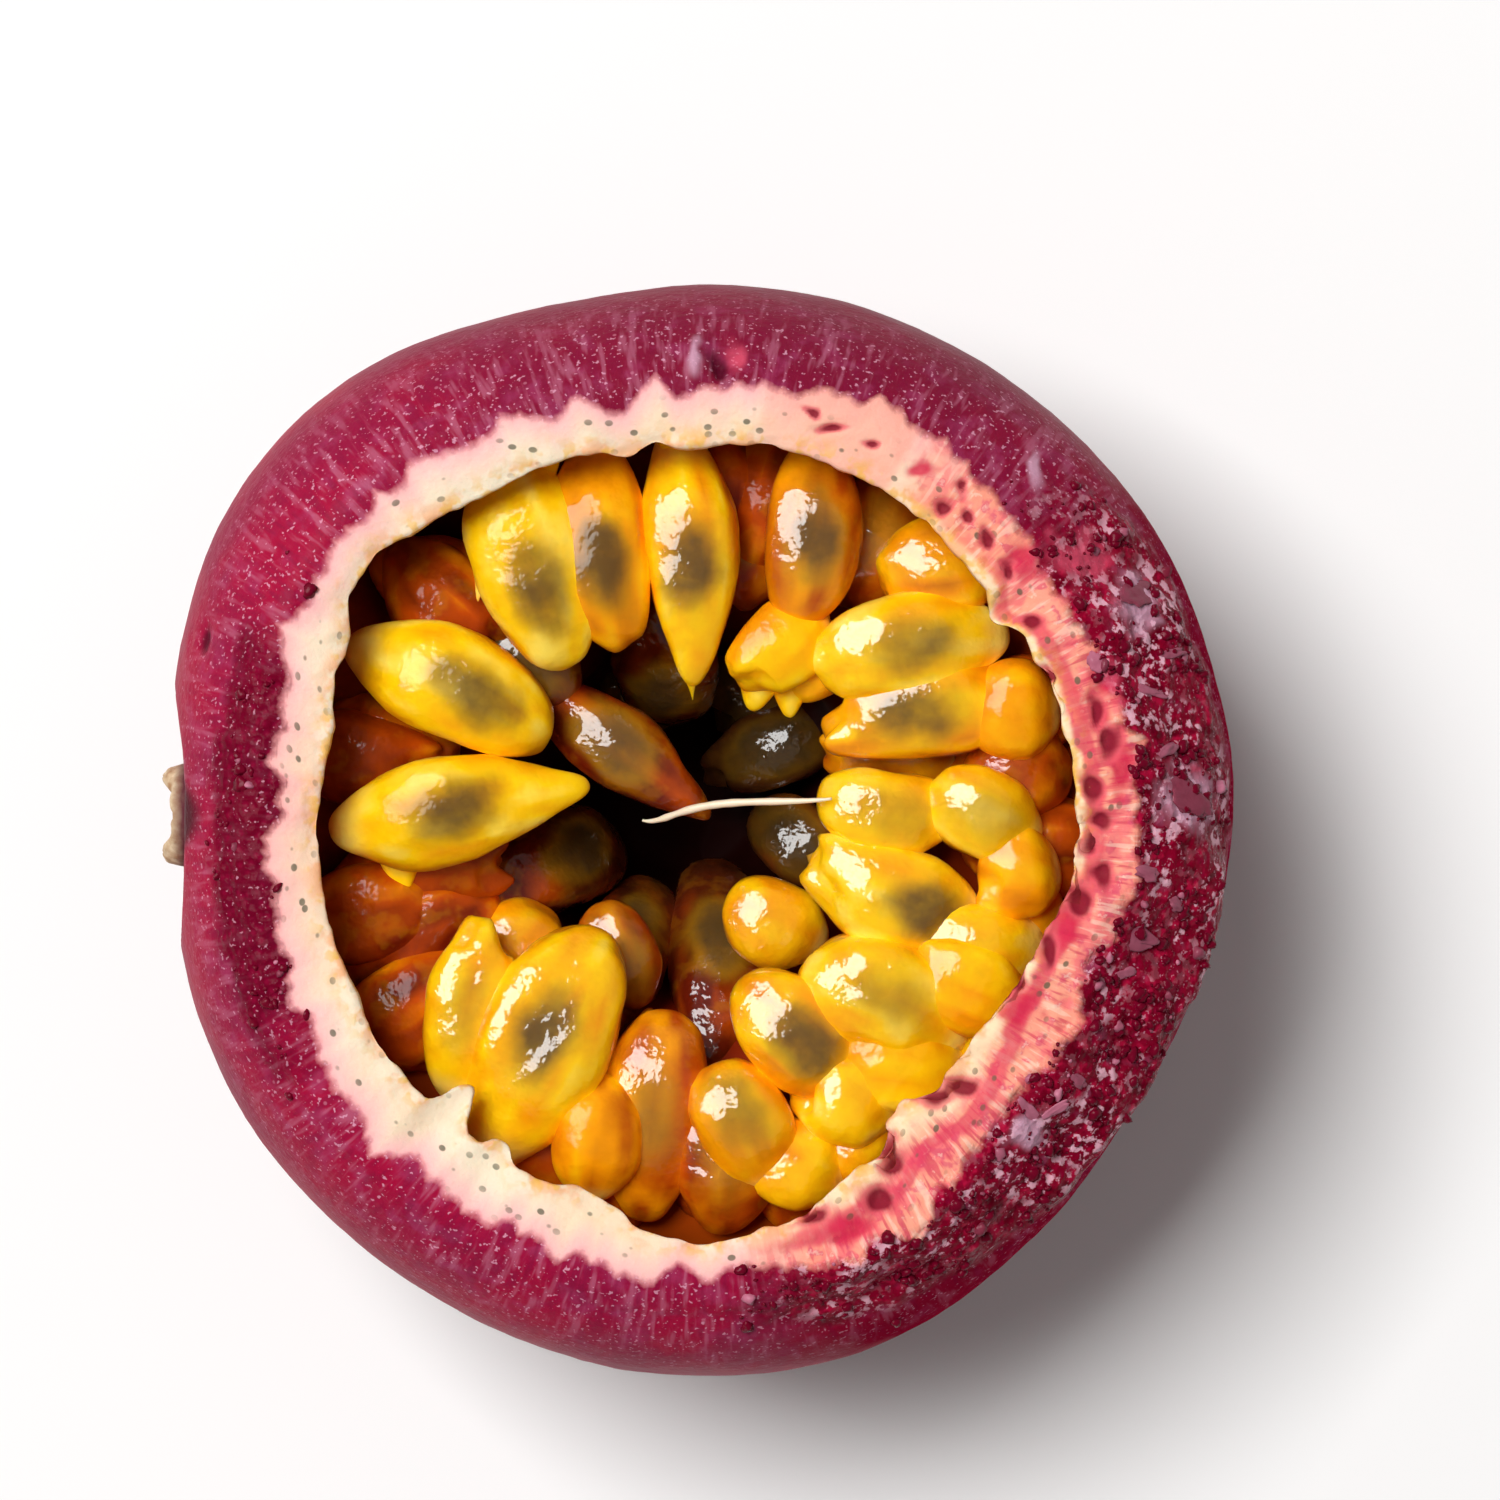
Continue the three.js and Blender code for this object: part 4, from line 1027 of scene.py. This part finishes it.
# The same juice pooled between the sacs: orange brown at the top, turning maroon and near black the lower it
# lies, as painted shade of the hollow.
def makeBedMaterial():
    pooled = {"IOR": 1.36, "Roughness": 0.4, "Specular IOR Level": 0.04}
    material, tree, surface = newMaterial("pooledJuicePaintedShade", pooled)
    depth = addNode(tree, "ShaderNodeAttribute", {"attribute_name": "depth"}).outputs["Fac"]
    # painted shade: the lower the bed lies, the darker it is coloured
    share = addNode(tree, "ShaderNodeMapRange", None, {1: 0.0, 2: pulp["bedShadeDepths"][1]}, {0: depth})
    ramp = addNode(tree, "ShaderNodeValToRGB", links={"Fac": share.outputs[0]})
    setStops(ramp, ((0.0, "9a4406"), (0.15, "7c2004"), (0.4, "5c1002"), (0.65, "340804"), (1.0, "280a08")))
    join(tree, surface, {"Base Color": ramp.outputs[0]})
    return material


# The loose fibre across the hollow, in mm.
fibre = {
    "path": [(-2.7, 0.55, 25), (-1.4, 0.75, 25.7), (0.4, 1.25, 26.7), (3, 1.45, 27.7), (6.2, 1.6, 29.1)],
    "radius": 0.2,
    "steps": 60,
    "sides": 12,
}


# A tube along a smooth path; its radius r(s) swells by sin(pi s)^0.4 and it is closed by poles.
def makeFibre():
    path = np.array(fibre["path"])
    knots = np.linspace(0, 1, len(path))
    s = np.linspace(0.0, 1.0, fibre["steps"])
    centre = np.stack([np.polyval(np.polyfit(knots, path[:, k], 4), s) for k in range(3)], axis=1)
    along = np.gradient(centre, axis=0)
    along /= np.linalg.norm(along, axis=1)[:, None]
    across = np.cross(along, (0, 0, 1))
    across /= np.linalg.norm(across, axis=1)[:, None]
    up = np.cross(along, across)
    turn = fullTurn * np.arange(fibre["sides"]) / fibre["sides"]
    radius = fibre["radius"] * np.sin(np.pi * np.clip(s, 0.02, 0.98)) ** 0.4
    radius = radius * (1 + 0.25 * softNoise(centre / 0.6, 71))
    circle = across[:, None] * np.cos(turn)[:, None] + up[:, None] * np.sin(turn)[:, None]
    rings = (centre[:, None] + radius[:, None, None] * circle)[None]
    piece = closedBodies("fibreStrand", rings, centre[0], centre[-1], {})
    register(piece, "fibre", "fibre")
    return piece


# Moist plant fibre, torn from the wall: off-white with a soft gloss.
def makeFibreMaterial():
    moist = {
        "Base Color": linearColour("f0dcc0"),
        "IOR": 1.4,
        "Roughness": 0.35,
        "Subsurface Weight": 0.2,
        "Subsurface Scale": 0.4 * mm,
    }
    return newMaterial("moistFibre", moist)[0]


# The cork ring of the stalk scar: its profile as (radius, height out of the skin) in mm, from pole to pole.
scar = {
    "profile": [
        (0, -1.6), (1.2, -1.6), (2.4, -1.55), (2.5, -1.4), (2.5, -0.2), (2.3, 0.35), (1.9, 0.5), (1.4, 0.2),
        (0.9, -0.5), (0.3, -0.62), (0, -0.66),
    ],
    "rings": 44,
    "sides": 96,
}


# A lathe disc with its axis along -X, its crest roughened by noise.
def makeScar():
    profileR, profileOut = np.array(scar["profile"][1:-1]).T
    s = np.linspace(0, 1, scar["rings"])
    knots = np.linspace(0, 1, len(profileR))
    r = np.interp(s, knots, profileR)[:, None]
    out = np.interp(s, knots, profileOut)[:, None]
    turn = fullTurn * np.arange(scar["sides"]) / scar["sides"]
    middle = np.array(bowl["stalk"]["at"])
    sideways = np.abs(np.cos(turn))
    crest = np.where(out > -0.3, 0.1 + 1.2 * sideways**2, 1)
    place = np.stack(np.broadcast_arrays(r * np.cos(turn), r * np.sin(turn), out), axis=-1)
    rough = 0.3 * layeredNoise(place / 0.8, 81) * (out > -1.2)
    lift = out * crest + rough
    radius = r * (1 + 0.05 * softNoise(place / 1.1, 82))
    rings = np.stack([-lift, radius * np.cos(turn), -radius * np.sin(turn)], axis=-1) + middle
    first = middle + (-scar["profile"][0][1], 0, 0)
    last = middle + (-scar["profile"][-1][1], 0, 0)
    values = {"sunk": ((1 - smoothStep(-0.5, 0.2, lift))[None], 1.0, 1.0)}
    piece = closedBodies("stalkScar", rings[None], first, last, values)
    register(piece, "cork", "stem_scar")
    return piece


# Cork of a healed stalk scar: dry, tan and crumbly, reddish brown in its sunken middle.
def makeCorkMaterial():
    material, tree, surface = newMaterial("dryScarCork", {"IOR": 1.45, "Roughness": 0.85})
    place = addNode(tree, "ShaderNodeTexCoord").outputs["Object"]
    sunk = addNode(tree, "ShaderNodeAttribute", {"attribute_name": "sunk"}).outputs["Fac"]
    values = {"Scale": 1 / (0.5 * mm), "Detail": 5.0}
    grain = addNode(tree, "ShaderNodeTexNoise", None, values, {"Vector": place}).outputs["Fac"]
    share = addNode(tree, "ShaderNodeMapRange", None, {1: 0.3, 2: 0.7}, {0: grain})
    tones = {6: linearColour("e0c8a4"), 7: linearColour("a87a50")}
    tan = addNode(tree, "ShaderNodeMix", {"data_type": "RGBA"}, tones, {0: share.outputs[0]})
    links = {0: sunk, 6: tan.outputs[2]}
    colour = addNode(tree, "ShaderNodeMix", {"data_type": "RGBA"}, {7: linearColour("5a1424")}, links)
    bump = addNode(tree, "ShaderNodeBump", None, {"Strength": 0.6, "Distance": 0.2 * mm}, {"Height": grain})
    join(tree, surface, {"Base Color": colour.outputs[2], "Normal": bump.outputs[0]})
    return material


# The camera, the lights and the floor: places and sizes in mm, powers in watts.
studio = {
    "cameraAt": (2.39, 3.88, 332),
    "lens": 155.5,
    "keyFrom": (-0.33, 0.25, 0.91),
    "keyDistance": 1000,
    "keySize": 420,
    "keyPower": 11,
    "cardFrom": (-0.55, 0.34, 0.76),
    "cardSize": 850,
    "cardPower": 23,
    "skyStrength": 0.19,
    "floorSize": 3000,
    "floorColour": "f4f3f2",
}


def makeStudio():
    scene = bpy.context.scene
    scene.view_settings.view_transform = "Standard"
    camera = bpy.data.objects.new("camera", bpy.data.cameras.new("camera"))
    camera.data.lens = studio["lens"]
    camera.data.clip_start = 0.01
    camera.data.clip_end = 10
    camera.location = np.array(studio["cameraAt"]) * mm
    scene.collection.objects.link(camera)
    scene.camera = camera

    # the softbox lights the fruit, and the card shows only as wide highlights on wet surfaces
    for name, kind in (("softbox", "key"), ("sheenCard", "card")):
        direction = np.array(studio[kind + "From"]) / np.linalg.norm(studio[kind + "From"])
        light = bpy.data.lights.new(name, "AREA")
        light.shape = "SQUARE"
        light.size = studio[kind + "Size"] * mm
        light.energy = studio[kind + "Power"]
        lamp = bpy.data.objects.new(name, light)
        lamp.location = (direction * studio["keyDistance"] + (0, 0, 25)) * mm
        tilt = np.arccos(direction[2])
        lamp.rotation_euler = (tilt, 0, np.arctan2(direction[1], direction[0]) + np.pi / 2)
        lamp.visible_camera = False
        lamp.visible_diffuse = kind == "key"
        lamp.visible_glossy = kind == "card"
        scene.collection.objects.link(lamp)

    world = bpy.data.worlds.new("paleRoom")
    world.use_nodes = True
    background = world.node_tree.nodes["Background"]
    background.inputs["Color"].default_value = linearColour("ffffff")
    background.inputs["Strength"].default_value = studio["skyStrength"]
    scene.world = world

    half = studio["floorSize"] / 2 * mm
    corners = [(-half, -half, 0), (half, -half, 0), (half, half, 0), (-half, half, 0)]
    mesh = bpy.data.meshes.new("floor")
    mesh.from_pydata(corners, [], [(0, 1, 2, 3)])
    floor = bpy.data.objects.new("floor", mesh)
    scene.collection.objects.link(floor)
    paper = {"Base Color": linearColour(studio["floorColour"]), "Roughness": 0.9, "Specular IOR Level": 0.1}
    mesh.materials.append(newMaterial("paleMattPaper", paper)[0])


makeStudio()
print("stage: studio")
rimPoints, rimFields = bowlSurface()
makeBowl(rimPoints, rimFields).data.materials.append(makeRindMaterial())
flesh = makeFleshMaterial()
makeGrains(rimPoints, rimFields).data.materials.append(flesh)
makeShreds(rimPoints).data.materials.append(flesh)
makeSacs(sacTable()).data.materials.append(makeJuiceMaterial())
makeBed().data.materials.append(makeBedMaterial())
makeFibre().data.materials.append(makeFibreMaterial())
makeScar().data.materials.append(makeCorkMaterial())
